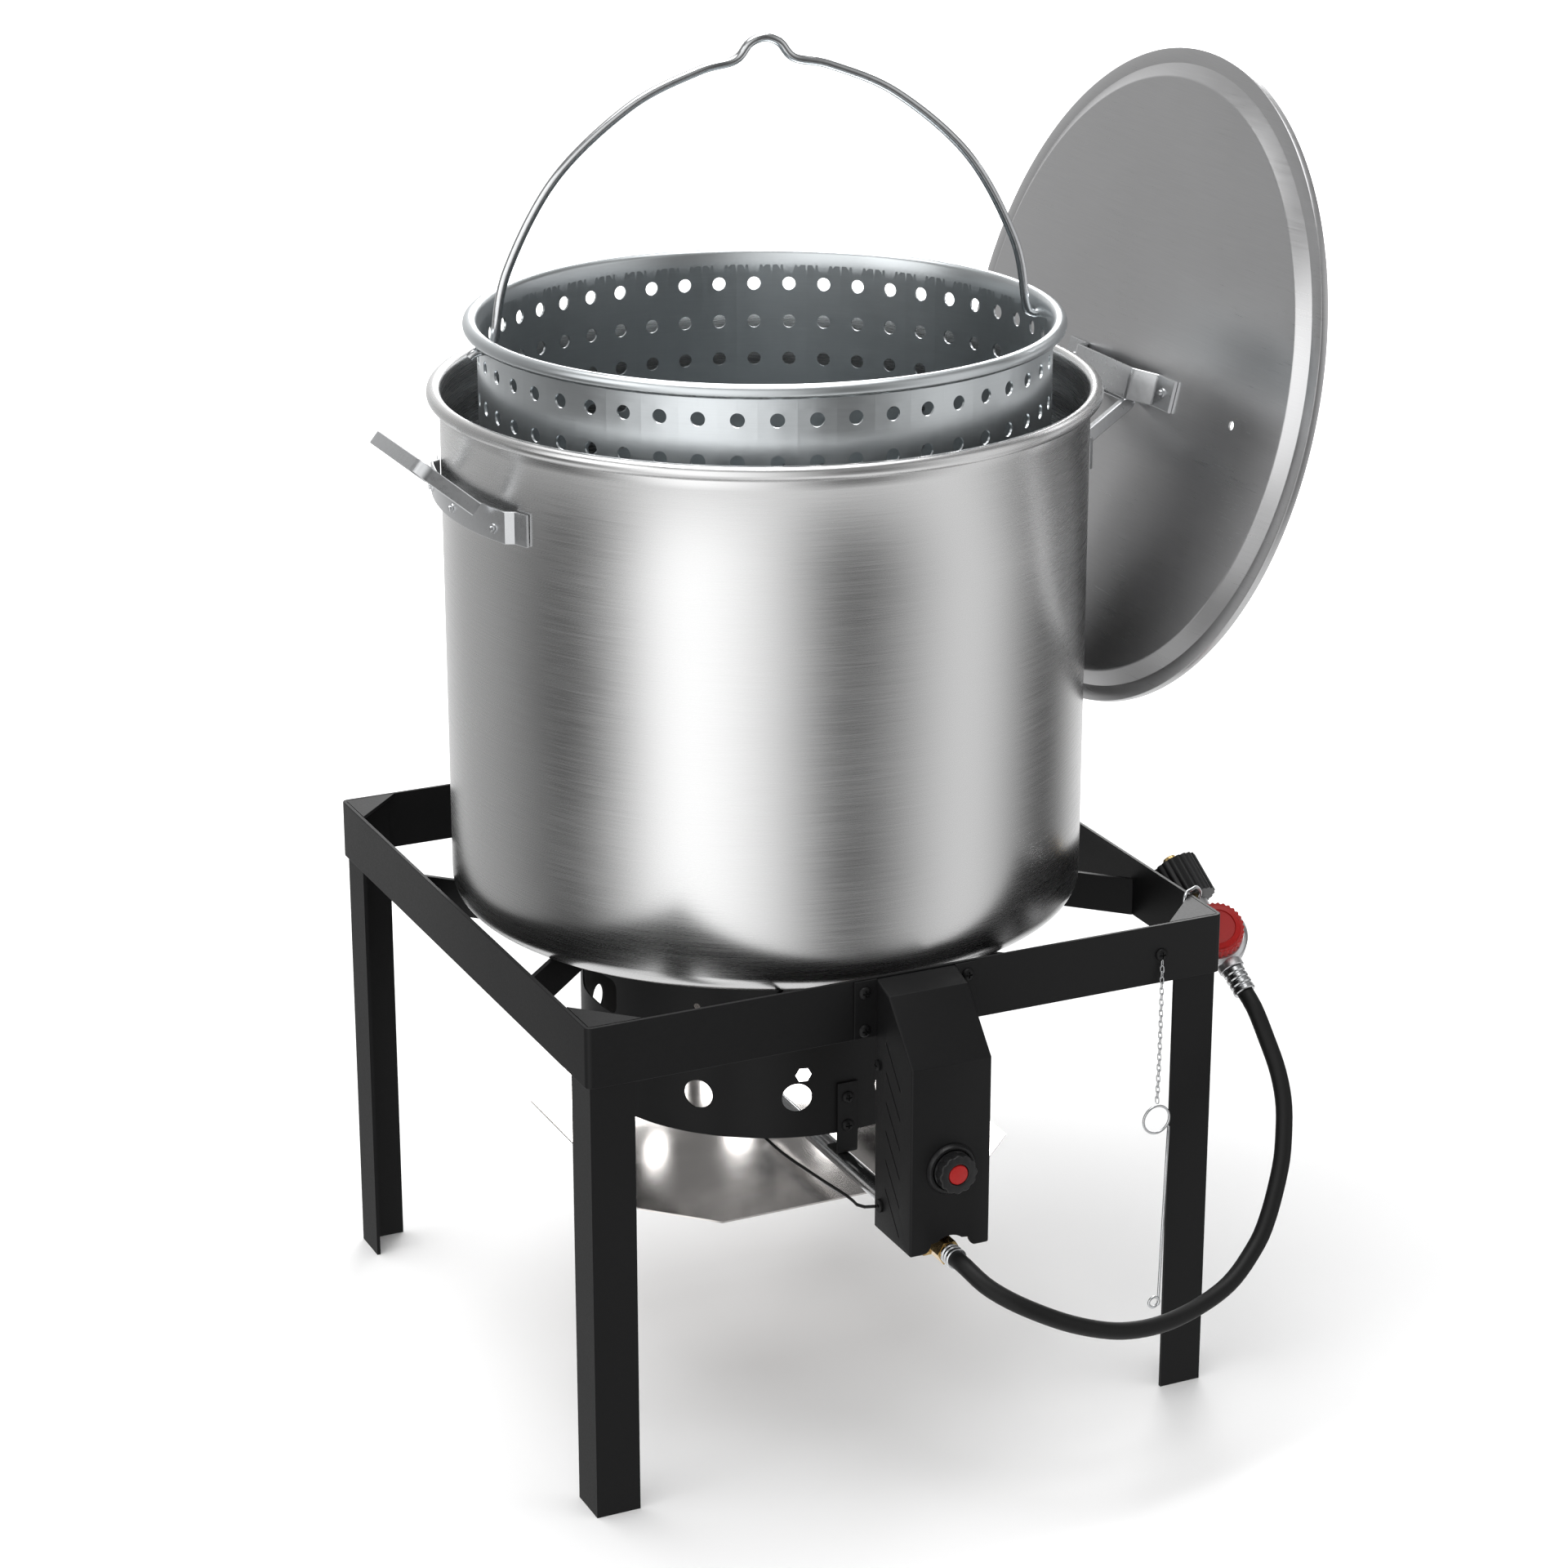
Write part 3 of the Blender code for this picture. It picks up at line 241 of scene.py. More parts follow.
# Basket
BASKET_RADIUS = 0.1895
BASKET_WALL = 0.0015
BASKET_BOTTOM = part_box("basket")[0].z
BASKET_RIM_Z = 0.724
BASKET_RIM_RADIUS = 0.194
BASKET_BEAD = 0.0047
BASKET_TURN = radians(-9)
BASKET_CORNER = 0.010
HOLES_ROUND = 48
HOLE_ROWS = 13
HOLE_PITCH = 0.0269
HOLE_RADIUS = 0.0047
TOP_HOLES_Z = 0.7045
BOTTOM_RINGS = 6
BOTTOM_PITCH = 0.0265
BAIL_WIRE = 0.003
BAIL_Z = 0.715
BAIL_HALF = [
    (0.1985, -0.0040),
    (0.1960, -0.0016),
    (0.1925, -0.0002),
    (0.1875, 0.0002),
    (0.1838, 0.0022),
    (0.1815, 0.0075),
    (0.1725, 0.051),
    (0.1400, 0.109),
    (0.0900, 0.153),
    (0.0450, 0.1735),
    (0.0200, 0.1795),
    (0.0100, 0.1900),
    (0, 0.1935),
]

# Gas supply
TUBE_Z = 0.1687
HOSE_RADIUS = 0.00575
HOSE_START = Vector((0, -0.292, TUBE_Z))
REGULATOR = Vector((0.257, -0.1728, 0.3036))
FLOW = Vector((0.125, -0.76, -0.64)).normalized()
DIAL_UP = Vector((-0.30, -0.64, 0.706)).normalized()
FERRULE_START = 0.026
FERRULE_END = 0.044
REGULATOR_RADIUS = 0.0222
REGULATOR_TOP = 0.0093
DIAL_DEPTH = 0.0095
NUT_START = 0.0305
NUT_END = 0.060
HANGER_WIRE = 0.0011
HANGER_LOOP = 0.0114
HANGER_NECK = 0.02535
HOSE_END = REGULATOR + FLOW * 0.0443
HOSE_ROUTE = [
    HOSE_START,
    HOSE_START + Vector((0, -0.012, 0)),
    (0.008, -0.322, 0.160),
    (0.028, -0.336, 0.148),
    (0.063, -0.340, 0.130),
    (0.101, -0.338, 0.117),
    (0.142, -0.330, 0.113),
    (0.186, -0.318, 0.1205),
    (0.214, -0.307, 0.1375),
    (0.230, -0.298, 0.1545),
    (0.2475, -0.283, 0.1805),
    (0.256, -0.272, 0.198),
    (0.2625, -0.260, 0.216),
    (0.2655, -0.246, 0.2335),
    (0.2655, -0.229, 0.252),
    HOSE_END + FLOW * 0.013,
    HOSE_END,
]

# Finishes, by the name that the pieces use.
FINISHES = {
    "coat": dict(
        name="powder_coat", slot="black_coat", colour=(0.0065, 0.0065, 0.0068), roughness=0.45,
        metallic=0.0, scale=900, vary=0.15, bump=0.25, relief=0.00006, gloss_level=0.19,
    ),
    "iron": dict(
        name="cast_iron", slot="cast_iron", colour=(0.035, 0.035, 0.035), roughness=0.65,
        metallic=0.4, scale=500, vary=0.3, bump=0.5, relief=0.0002,
    ),
    "mirror": dict(
        name="polished_steel", slot="mirror_steel", colour=(0.80, 0.765, 0.74), roughness=0.17,
        scale=60, vary=0.03, rough_vary=0.03, bump=0.02, relief=0.0001,
    ),
    "brushed": dict(
        name="brushed_aluminium", slot="aluminium", colour=(0.70, 0.70, 0.70), roughness=0.27,
        grain=(0.011, 0.011, 1), scale=2300, vary=0.06, bump=0.05, relief=0.00003,
        anisotropy=0.3,
    ),
    "lid": dict(
        name="brushed_lid", slot="aluminium", colour=(0.59, 0.59, 0.595), roughness=0.31,
        grain=(1, 0.012, 0.012), scale=2300, vary=0.05, bump=0.05, relief=0.00003,
    ),
    "basket": dict(
        name="basket_aluminium", slot="aluminium", colour=(0.60, 0.63, 0.645), roughness=0.31,
        grain=(0.05, 0.05, 1), scale=900, vary=0.03, rough_vary=0.03, bump=0.02,
        relief=0.00003,
    ),
    "satin": dict(
        name="satin_aluminium", slot="aluminium", colour=(0.60, 0.61, 0.62), roughness=0.30,
        scale=300, vary=0.05, bump=0.04, relief=0.00006,
    ),
    "plated": dict(
        name="zinc_plate", slot="plated_steel", colour=(0.62, 0.63, 0.64), roughness=0.20,
        scale=250, vary=0.06, bump=0.03, relief=0.00005,
    ),
    "brass": dict(
        name="brass", slot="brass", colour=(0.74, 0.53, 0.24), roughness=0.25,
        scale=300, vary=0.10, bump=0.05, relief=0.00005,
    ),
    "cast": dict(
        name="die_cast", slot="cast_grey", colour=(0.66, 0.66, 0.67), roughness=0.36,
        scale=600, vary=0.08, bump=0.2, relief=0.00008,
    ),
    "black": dict(
        name="black_plastic", slot="black_plastic", colour=(0.012, 0.012, 0.0125), roughness=0.35,
        metallic=0.0, scale=700, vary=0.1, bump=0.10, relief=0.00005, gloss_level=0.3,
    ),
    "red": dict(
        name="red_plastic", slot="red_plastic", colour=(0.36, 0.007, 0.006), roughness=0.42,
        metallic=0.0, scale=600, vary=0.06, bump=0.05, relief=0.00005, gloss_level=0.3,
    ),
    "rubber": dict(
        name="hose_rubber", slot="rubber", colour=(0.006, 0.006, 0.006), roughness=0.52,
        metallic=0.0, scale=800, vary=0.2, bump=0.3, relief=0.00008, gloss_level=0.25,
    ),
    "ceramic": dict(
        name="ceramic", slot="ceramic", colour=(0.80, 0.79, 0.75), roughness=0.35,
        metallic=0.0, scale=300, vary=0.04, bump=0.05, relief=0.00005,
    ),
}

# A CAD node that no piece replaces gets the last finish listed for its material slot.
LOOK_OF_SLOT = {finish["slot"]: key for key, finish in FINISHES.items()}


# Shapes: each returns (vertices, faces).


def signed_area(outline):
    following = outline[1:] + outline[:1]
    return sum(a[0] * b[1] - b[0] * a[1] for a, b in zip(outline, following)) / 2


def prism(outline, depth, start=0.0):
    """A flat outline in XY, raised along +Z from start."""
    if signed_area(outline) < 0:
        outline = outline[::-1]
    count = len(outline)
    vertices = [(x, y, start) for x, y in outline] + [(x, y, start + depth) for x, y in outline]
    faces = [tuple(range(count))[::-1], tuple(range(count, 2 * count))]
    for i in range(count):
        j = (i + 1) % count
        faces.append((i, j, count + j, count + i))
    return vertices, faces


def rectangle(left, bottom, right, top):
    return [(left, bottom), (right, bottom), (right, top), (left, top)]


def box(low, high):
    return prism(rectangle(low[0], low[1], high[0], high[1]), high[2] - low[2], low[2])


def circle(radius, sides):
    return [(radius * cos(2 * pi * i / sides), radius * sin(2 * pi * i / sides)) for i in range(sides)]


def ribbed(radius, depth, ribs, per_rib=6):
    """A round outline with rounded ribs."""
    outline = []
    for i in range(ribs * per_rib):
        angle = 2 * pi * i / (ribs * per_rib)
        reach = radius - depth * abs(sin(angle * ribs / 2)) ** 3
        outline.append((reach * cos(angle), reach * sin(angle)))
    return outline


def arc(centre, radius, first, last, steps):
    angles = [radians(first + (last - first) * i / steps) for i in range(steps + 1)]
    return [(centre[0] + radius * cos(a), centre[1] + radius * sin(a)) for a in angles]


def rounded_rectangle(width, height, radius, steps=5):
    across = width / 2 - radius
    up = height / 2 - radius
    outline = []
    for x, y, first in ((across, up, 0), (-across, up, 90), (-across, -up, 180), (across, -up, 270)):
        outline += arc((x, y), radius, first, first + 90, steps)
    return outline


def rod(radius, length, sides=24, start=0.0):
    return prism(circle(radius, sides), length, start)


def turned(profile, sides):
    """A closed (radius, height) profile turned about Z."""
    vertices = []
    rings = []
    for radius, height in profile:
        if radius == 0:
            rings.append([len(vertices)] * sides)
            vertices.append((0, 0, height))
            continue
        rings.append(list(range(len(vertices), len(vertices) + sides)))
        vertices += [(x, y, height) for x, y in circle(radius, sides)]
    faces = []
    for low, high in zip(rings, rings[1:] + rings[:1]):
        if low[0] == low[1] and high[0] == high[1]:
            continue
        for i in range(sides):
            j = (i + 1) % sides
            faces.append(tuple(dict.fromkeys([low[i], low[j], high[j], high[i]])))
    if signed_area(profile) < 0:
        faces = [face[::-1] for face in faces]
    return vertices, faces


def turned_between(first, last, share):
    start = atan2(first.y, first.x)
    sweep = (atan2(last.y, last.x) - start + pi) % (2 * pi) - pi
    return Vector((cos(start + sweep * share), sin(start + sweep * share))) * first.length


def rounded(points, radius, steps=5):
    """An open line in a plane with its inner corners rounded."""
    points = [Vector(point) for point in points]
    line = [tuple(points[0])]
    for before, corner, after in zip(points, points[1:], points[2:]):
        back = (before - corner).normalized()
        on = (after - corner).normalized()
        half = acos(max(-1, min(1, back.dot(on)))) / 2
        reach = radius / tan(half)
        centre = corner + (back + on).normalized() * (radius / sin(half))
        first = corner + back * reach - centre
        last = corner + on * reach - centre
        line += [tuple(centre + turned_between(first, last, i / steps)) for i in range(steps + 1)]
    line.append(tuple(points[-1]))
    return line


def sweep(section, line):
    """A closed section carried along a line in XY: its x lies across the line and its y along Z."""
    line = [Vector(point) for point in line]
    count = len(section)
    vertices = []
    for i, point in enumerate(line):
        before = (point - line[i - 1]).normalized() if i else None
        after = (line[i + 1] - point).normalized() if i + 1 < len(line) else None
        before = before or after
        after = after or before
        along = (before + after).normalized()
        side = Vector((-along.y, along.x))
        stretch = 1 / max(0.3, side.dot(Vector((-after.y, after.x))))
        for x, y in section:
            place = point + side * (x * stretch)
            vertices.append((place.x, place.y, y))
    faces = []
    for i in range(len(line) - 1):
        for k in range(count):
            j = (k + 1) % count
            faces.append((i * count + k, i * count + j, (i + 1) * count + j, (i + 1) * count + k))
    last = (len(line) - 1) * count
    faces.append(tuple(range(count))[::-1])
    faces.append(tuple(range(last, last + count)))
    if signed_area(section) > 0:
        faces = [face[::-1] for face in faces]
    return vertices, faces


def smooth_route(points, spacing):
    """Evenly spaced points on a Catmull-Rom curve through the route's own points."""
    points = [Vector(point) for point in points]
    ends = [2 * points[0] - points[1]] + points + [2 * points[-1] - points[-2]]
    fine = [points[0]]
    steps = 24
    for before, start, end, after in zip(ends, ends[1:], ends[2:], ends[3:]):
        for i in range(1, steps + 1):
            t = i / steps
            fine.append(
                0.5 * (2 * start + (end - before) * t
                       + (2 * before - 5 * start + 4 * end - after) * t**2
                       + (3 * start - before - 3 * end + after) * t**3)
            )
    lengths = [(b - a).length for a, b in zip(fine, fine[1:])]
    total = sum(lengths)
    count = max(2, ceil(total / spacing))
    route = [fine[0]]
    walked = 0.0
    for a, b, length in zip(fine, fine[1:], lengths):
        while len(route) < count and walked + length >= total * len(route) / count:
            route.append(a.lerp(b, (total * len(route) / count - walked) / length))
        walked += length
    route.append(fine[-1])
    return route


def tube(line, radius, sides=10, closed=False):
    """Round wire along a line of points."""
    line = [Vector(point) for point in line]
    count = len(line)
    vertices = []
    across = None
    for i, point in enumerate(line):
        if closed:
            along = (line[(i + 1) % count] - line[i - 1]).normalized()
        else:
            along = (line[min(count - 1, i + 1)] - line[max(0, i - 1)]).normalized()
        if across is None:
            across = along.orthogonal().normalized()
        across = (across - along * across.dot(along)).normalized()
        up = along.cross(across)
        for x, y in circle(radius, sides):
            vertices.append(tuple(point + across * x + up * y))
    faces = []
    for i in range(count if closed else count - 1):
        low = i * sides
        high = (i + 1) % count * sides
        for k in range(sides):
            j = (k + 1) % sides
            faces.append((low + k, low + j, high + j, high + k))
    if not closed:
        faces.append(tuple(range(sides))[::-1])
        faces.append(tuple(range((count - 1) * sides, count * sides)))
    return vertices, faces


def moved(shape, place=(0, 0, 0), turn=(0, 0, 0)):
    matrix = Matrix.Translation(place) @ Euler(turn).to_matrix().to_4x4()
    vertices, faces = shape
    return [tuple(matrix @ Vector(vertex)) for vertex in vertices], faces


def together(*shapes):
    vertices = []
    faces = []
    for some_vertices, some_faces in shapes:
        base = len(vertices)
        vertices += some_vertices
        faces += [tuple(base + i for i in face) for face in some_faces]
    return vertices, faces


def radial(angle_degrees):
    return (pi / 2, 0, radians(angle_degrees) + pi / 2)


def along(direction):
    return direction.to_track_quat("Z", "Y").to_euler()


def from_axes(x_axis, y_axis, z_axis):
    return Matrix((x_axis, y_axis, z_axis)).transposed().to_euler()


# Pieces


def add_to_scene(thing):
    bpy.context.scene.collection.objects.link(thing)


def put(name, shape, look, body, nodes=(), place=(0, 0, 0), turn=(0, 0, 0), bevel=0.0, smooth=40):
    """Adds a piece that rides on a body and stands for the CAD nodes that it replaces."""
    vertices, faces = shape
    mesh = bpy.data.meshes.new(name)
    mesh.from_pydata(vertices, [], faces)
    mesh.validate()
    mesh.shade_smooth()
    mesh.set_sharp_from_angle(angle=radians(smooth))
    piece = bpy.data.objects.new(name, mesh)
    add_to_scene(piece)
    piece.location = STAND + Vector(place)
    piece.rotation_euler = turn
    piece.data.materials.append(look[0])
    if bevel:
        add_bevel(piece, bevel, 2, 40).harden_normals = True
    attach(piece, body)
    if isinstance(nodes, str):
        nodes = (nodes,)
    if nodes:
        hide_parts(*nodes)
    return piece


def add_bevel(piece, width, segments, angle):
    """Rounds the edges that turn by more than an angle in degrees."""
    edges = piece.modifiers.new("edges", "BEVEL")
    edges.width = width
    edges.segments = segments
    edges.limit_method = "ANGLE"
    edges.angle_limit = radians(angle)
    return edges


def cut(piece, shape, place=(0, 0, 0), turn=(0, 0, 0), operation="DIFFERENCE"):
    """Cuts a shape from a piece for good."""
    vertices, faces = shape
    mesh = bpy.data.meshes.new("cutter")
    mesh.from_pydata(vertices, [], faces)
    cutter = bpy.data.objects.new("cutter", mesh)
    add_to_scene(cutter)
    cutter.location = STAND + Vector(place)
    cutter.rotation_euler = turn
    bpy.context.view_layer.update()
    modifier = piece.modifiers.new("cut", "BOOLEAN")
    modifier.object = cutter
    modifier.operation = operation
    graph = bpy.context.evaluated_depsgraph_get()
    result = bpy.data.meshes.new_from_object(piece.evaluated_get(graph))
    piece.modifiers.remove(modifier)
    old = piece.data
    piece.data = result
    bpy.data.meshes.remove(old)
    bpy.data.objects.remove(cutter)
    bpy.data.meshes.remove(mesh)


def resharpen(piece, angle=40):
    piece.data.shade_smooth()
    piece.data.set_sharp_from_angle(angle=radians(angle))


def phillips_screw(name, look, body, place, turn, node=(), radius=0.0043):
    """Pan head with a cross recess."""
    dome = [(0, 0.0024), (0.0012, 0.00237), (0.0024, 0.0021), (0.0036, 0.0015)]
    dome += [(radius, 0.0005), (radius, 0), (0, 0)]
    screw = put(name, turned(dome, 24), look, body, node, place, turn)
    half = 0.0023
    slot = 0.0005
    for x, y in ((half, slot), (slot, half)):
        cut(screw, box((-x, -y, 0.0012), (x, y, 0.004)), place, turn)
    resharpen(screw)


def rivet(name, look, body, place, turn):
    profile = [(0, 0.0030), (0.0017, 0.0028), (0.0020, 0.0022), (0.0020, 0.0012)]
    profile += [(0.0034, 0.0010), (0.0036, 0), (0, 0)]
    put(name, turned(profile, 20), look, body, (), place, turn)


# Materials


def map_range(tree, source, start, end):
    """A node that turns start to end of a source into 0 to 1."""
    node = tree.nodes.new("ShaderNodeMapRange")
    node.inputs["From Min"].default_value = start
    node.inputs["From Max"].default_value = end
    tree.links.new(source, node.inputs["Value"])
    return node


def surface(name, slot, colour, roughness, scale, vary, bump, relief, metallic=1.0, grain=(1, 1, 1),
            rough_vary=0.05, anisotropy=0.0, gloss_level=0.5):
    """A finish whose colour, roughness and height follow one stretched noise and one broad one."""
    material = bpy.data.materials.new(name)
    material.use_nodes = True
    nodes = material.node_tree.nodes
    links = material.node_tree.links
    shader = nodes["Principled BSDF"]
    shader.inputs["Metallic"].default_value = metallic
    shader.inputs["Anisotropic"].default_value = anisotropy
    shader.inputs["Specular IOR Level"].default_value = gloss_level
    place = nodes.new("ShaderNodeTexCoord")
    mapping = nodes.new("ShaderNodeMapping")
    mapping.inputs["Scale"].default_value = grain
    links.new(place.outputs["Object"], mapping.inputs["Vector"])
    fine = nodes.new("ShaderNodeTexNoise")
    fine.inputs["Scale"].default_value = scale
    fine.inputs["Detail"].default_value = 4
    links.new(mapping.outputs["Vector"], fine.inputs["Vector"])
    broad = nodes.new("ShaderNodeTexNoise")
    broad.inputs["Scale"].default_value = 9
    broad.inputs["Detail"].default_value = 3
    links.new(place.outputs["Object"], broad.inputs["Vector"])
    blend = nodes.new("ShaderNodeMath")
    blend.operation = "MULTIPLY_ADD"
    blend.inputs[1].default_value = 0.35
    links.new(broad.outputs["Fac"], blend.inputs[0])
    fine_share = nodes.new("ShaderNodeMath")
    fine_share.operation = "MULTIPLY"
    fine_share.inputs[1].default_value = 0.65
    links.new(fine.outputs["Fac"], fine_share.inputs[0])
    links.new(fine_share.outputs["Value"], blend.inputs[2])
    tint = nodes.new("ShaderNodeValToRGB")
    tint.color_ramp.elements[0].position = 0.3
    tint.color_ramp.elements[1].position = 0.7
    tint.color_ramp.elements[0].color = (*[c * (1 - vary) for c in colour], 1)
    tint.color_ramp.elements[1].color = (*[min(1, c * (1 + vary)) for c in colour], 1)
    links.new(blend.outputs["Value"], tint.inputs["Fac"])
    links.new(tint.outputs["Color"], shader.inputs["Base Color"])
    gloss = map_range(material.node_tree, blend.outputs["Value"], 0.3, 0.7)
    gloss.inputs["To Min"].default_value = max(0.02, roughness - rough_vary)
    gloss.inputs["To Max"].default_value = roughness + rough_vary
    links.new(gloss.outputs["Result"], shader.inputs["Roughness"])
    raised = nodes.new("ShaderNodeBump")
    raised.inputs["Strength"].default_value = bump
    raised.inputs["Distance"].default_value = relief
    links.new(fine.outputs["Fac"], raised.inputs["Height"])
    links.new(raised.outputs["Normal"], shader.inputs["Normal"])
    return material, slot


def make_looks():
    return {key: surface(**finish) for key, finish in FINISHES.items()}


# Camera and stage


def make_camera():
    data = bpy.data.cameras.new("camera")
    data.lens = CAMERA_LENS
    data.sensor_width = 36
    data.clip_end = 100
    camera = bpy.data.objects.new("camera", data)
    camera.location = STAND + CAMERA_PLACE
    camera.rotation_euler = (pi / 2 - CAMERA_PITCH, 0, -CAMERA_YAW)
    add_to_scene(camera)
    bpy.context.scene.camera = camera


def area_light(name, place, target, width, height, power):
    data = bpy.data.lights.new(name, "AREA")
    data.energy = power
    data.shape = "RECTANGLE"
    data.size = width
    data.size_y = height
    light = bpy.data.objects.new(name, data)
    light.location = STAND + Vector(place)
    aim = Vector(target) - Vector(place)
    light.rotation_euler = aim.to_track_quat("-Z", "Y").to_euler()
    add_to_scene(light)


def make_stage():
    """Pale paper floor, studio surroundings, an even sky and the soft lights."""
    vertices = [(x, y, 0) for x, y in rectangle(-PAPER_HALF, -PAPER_HALF, PAPER_HALF, PAPER_HALF)]
    mesh = bpy.data.meshes.new("floor")
    mesh.from_pydata(vertices, [], [(0, 1, 2, 3)])
    floor = bpy.data.objects.new("floor", mesh)
    add_to_scene(floor)
    paper = bpy.data.materials.new("paper")
    paper.use_nodes = True
    shader = paper.node_tree.nodes["Principled BSDF"]
    shader.inputs["Base Color"].default_value = (PAPER_SHADE, PAPER_SHADE, PAPER_SHADE, 1)
    shader.inputs["Roughness"].default_value = 0.9
    shader.inputs["Emission Color"].default_value = (1, 1, 1, 1)
    glow_with_distance(paper.node_tree, shader)
    floor.data.materials.append(paper)
    floor.visible_glossy = False
    bpy.context.scene.view_settings.view_transform = "Standard"
    make_world()
    soft_sky()
    for light in LIGHTS:
        area_light(*light)


def glow_with_distance(tree, shader):
    """The paper under the stand is lit by the lights alone, and far from it the paper glows."""
    place = tree.nodes.new("ShaderNodeNewGeometry")
    length = tree.nodes.new("ShaderNodeVectorMath")
    length.operation = "LENGTH"
    tree.links.new(place.outputs["Position"], length.inputs[0])
    glow = map_range(tree, length.outputs["Value"], GLOW_STARTS, GLOW_ENDS)
    glow.inputs["To Max"].default_value = GLOW_MOST
    tree.links.new(glow.outputs["Result"], shader.inputs["Emission Strength"])


def soft_sky():
    """Even light from overhead with very soft shadows."""
    data = bpy.data.lights.new("overhead", "SUN")
    data.energy = SKY_POWER
    data.angle = SKY_WIDTH
    light = bpy.data.objects.new("overhead", data)
    light.rotation_euler = SKY_LEAN
    add_to_scene(light)


def blend_to_level(tree, height, start, end, colour, level):
    """Turns a colour into a plain grey between two heights of the view direction."""
    share = map_range(tree, height, start, end)
    share.interpolation_type = "SMOOTHSTEP"
    mix = tree.nodes.new("ShaderNodeMix")
    mix.data_type = "RGBA"
    tree.links.new(share.outputs["Result"], mix.inputs["Factor"])
    tree.links.new(colour, mix.inputs["A"])
    mix.inputs["B"].default_value = (level, level, level, 1)
    return mix.outputs["Result"]


def make_world():
    """Studio surroundings: bright panels and dark gaps round the sides, plain grey above and below."""
    world = bpy.data.worlds.new("studio")
    world.use_nodes = True
    tree = world.node_tree
    direction = tree.nodes.new("ShaderNodeTexCoord")
    split = tree.nodes.new("ShaderNodeSeparateXYZ")
    tree.links.new(direction.outputs["Generated"], split.inputs["Vector"])
    bearing = tree.nodes.new("ShaderNodeMath")
    bearing.operation = "ARCTAN2"
    tree.links.new(split.outputs["Y"], bearing.inputs[0])
    tree.links.new(split.outputs["X"], bearing.inputs[1])
    share = map_range(tree, bearing.outputs["Value"], -pi, pi)
    around = tree.nodes.new("ShaderNodeValToRGB")
    ramp = around.color_ramp
    ramp.interpolation = "B_SPLINE"
    while len(ramp.elements) < len(PANELS):
        ramp.elements.new(0.5)
    for element, (degrees, level) in zip(ramp.elements, PANELS):
        element.position = degrees / 360 + 0.5
        element.color = (level, level, level, 1)
    tree.links.new(share.outputs["Result"], around.inputs["Fac"])
    height = split.outputs["Z"]
    high = blend_to_level(tree, height, HIGH_STARTS, HIGH_ENDS, around.outputs["Color"], HIGH_LEVEL)
    low = blend_to_level(tree, height, LOW_STARTS, LOW_ENDS, high, LOW_LEVEL)
    background = tree.nodes["Background"]
    tree.links.new(low, background.inputs["Color"])
    background.inputs["Strength"].default_value = STUDIO_STRENGTH
    bpy.context.scene.world = world


# Gas hose


def make_hose(looks):
    route = smooth_route(HOSE_ROUTE, 0.006)
    curve = bpy.data.curves.new("hose", "CURVE")
    curve.dimensions = "3D"
    curve.bevel_depth = HOSE_RADIUS
    curve.bevel_resolution = 6
    curve.use_fill_caps = True
    spline = curve.splines.new("POLY")
    spline.points.add(len(route) - 1)
    for point, place in zip(spline.points, route):
        point.co = (*(STAND + place), 1)
    spline.use_smooth = True
    hose = bpy.data.objects.new("hose", curve)
    add_to_scene(hose)
    curve.materials.append(looks["rubber"][0])
    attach(hose, "stand")
    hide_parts("gas_hose")
    lower = make_lower_ferrule(looks)
    upper = make_upper_ferrule(looks)
    supply = make_regulator(looks)


def crimped(radius, length, rings):
    """Profile of a crimped sleeve with shallow grooves."""
    edge = 0.0006
    groove = radius - 0.0007
    profile = [(0, 0), (radius - edge, 0), (radius, edge)]
    for i in range(rings):
        middle = length * (i + 1) / (rings + 1)
        profile += [(radius, middle - 0.0012), (groove, middle - 0.0004)]
        profile += [(groove, middle + 0.0004), (radius, middle + 0.0012)]
    profile += [(radius, length - edge), (radius - edge, length), (0, length)]
    return profile


def make_lower_ferrule(looks):
    length = 0.010
    sleeve = turned(crimped(0.0072, length, 2), 40)
    place = HOSE_START + Vector((0, length + 0.0003, 0))
    return put("ferrule_lower", sleeve, looks["plated"], "stand", "hose_ferrule_lower", place, FACING_FRONT)


def make_upper_ferrule(looks):
    length = FERRULE_END - FERRULE_START
    sleeve = turned(crimped(0.0078, length, 3), 40)
    place = REGULATOR + FLOW * FERRULE_START
    return put("ferrule_upper", sleeve, looks["plated"], "stand", "hose_ferrule_upper", place, along(FLOW))


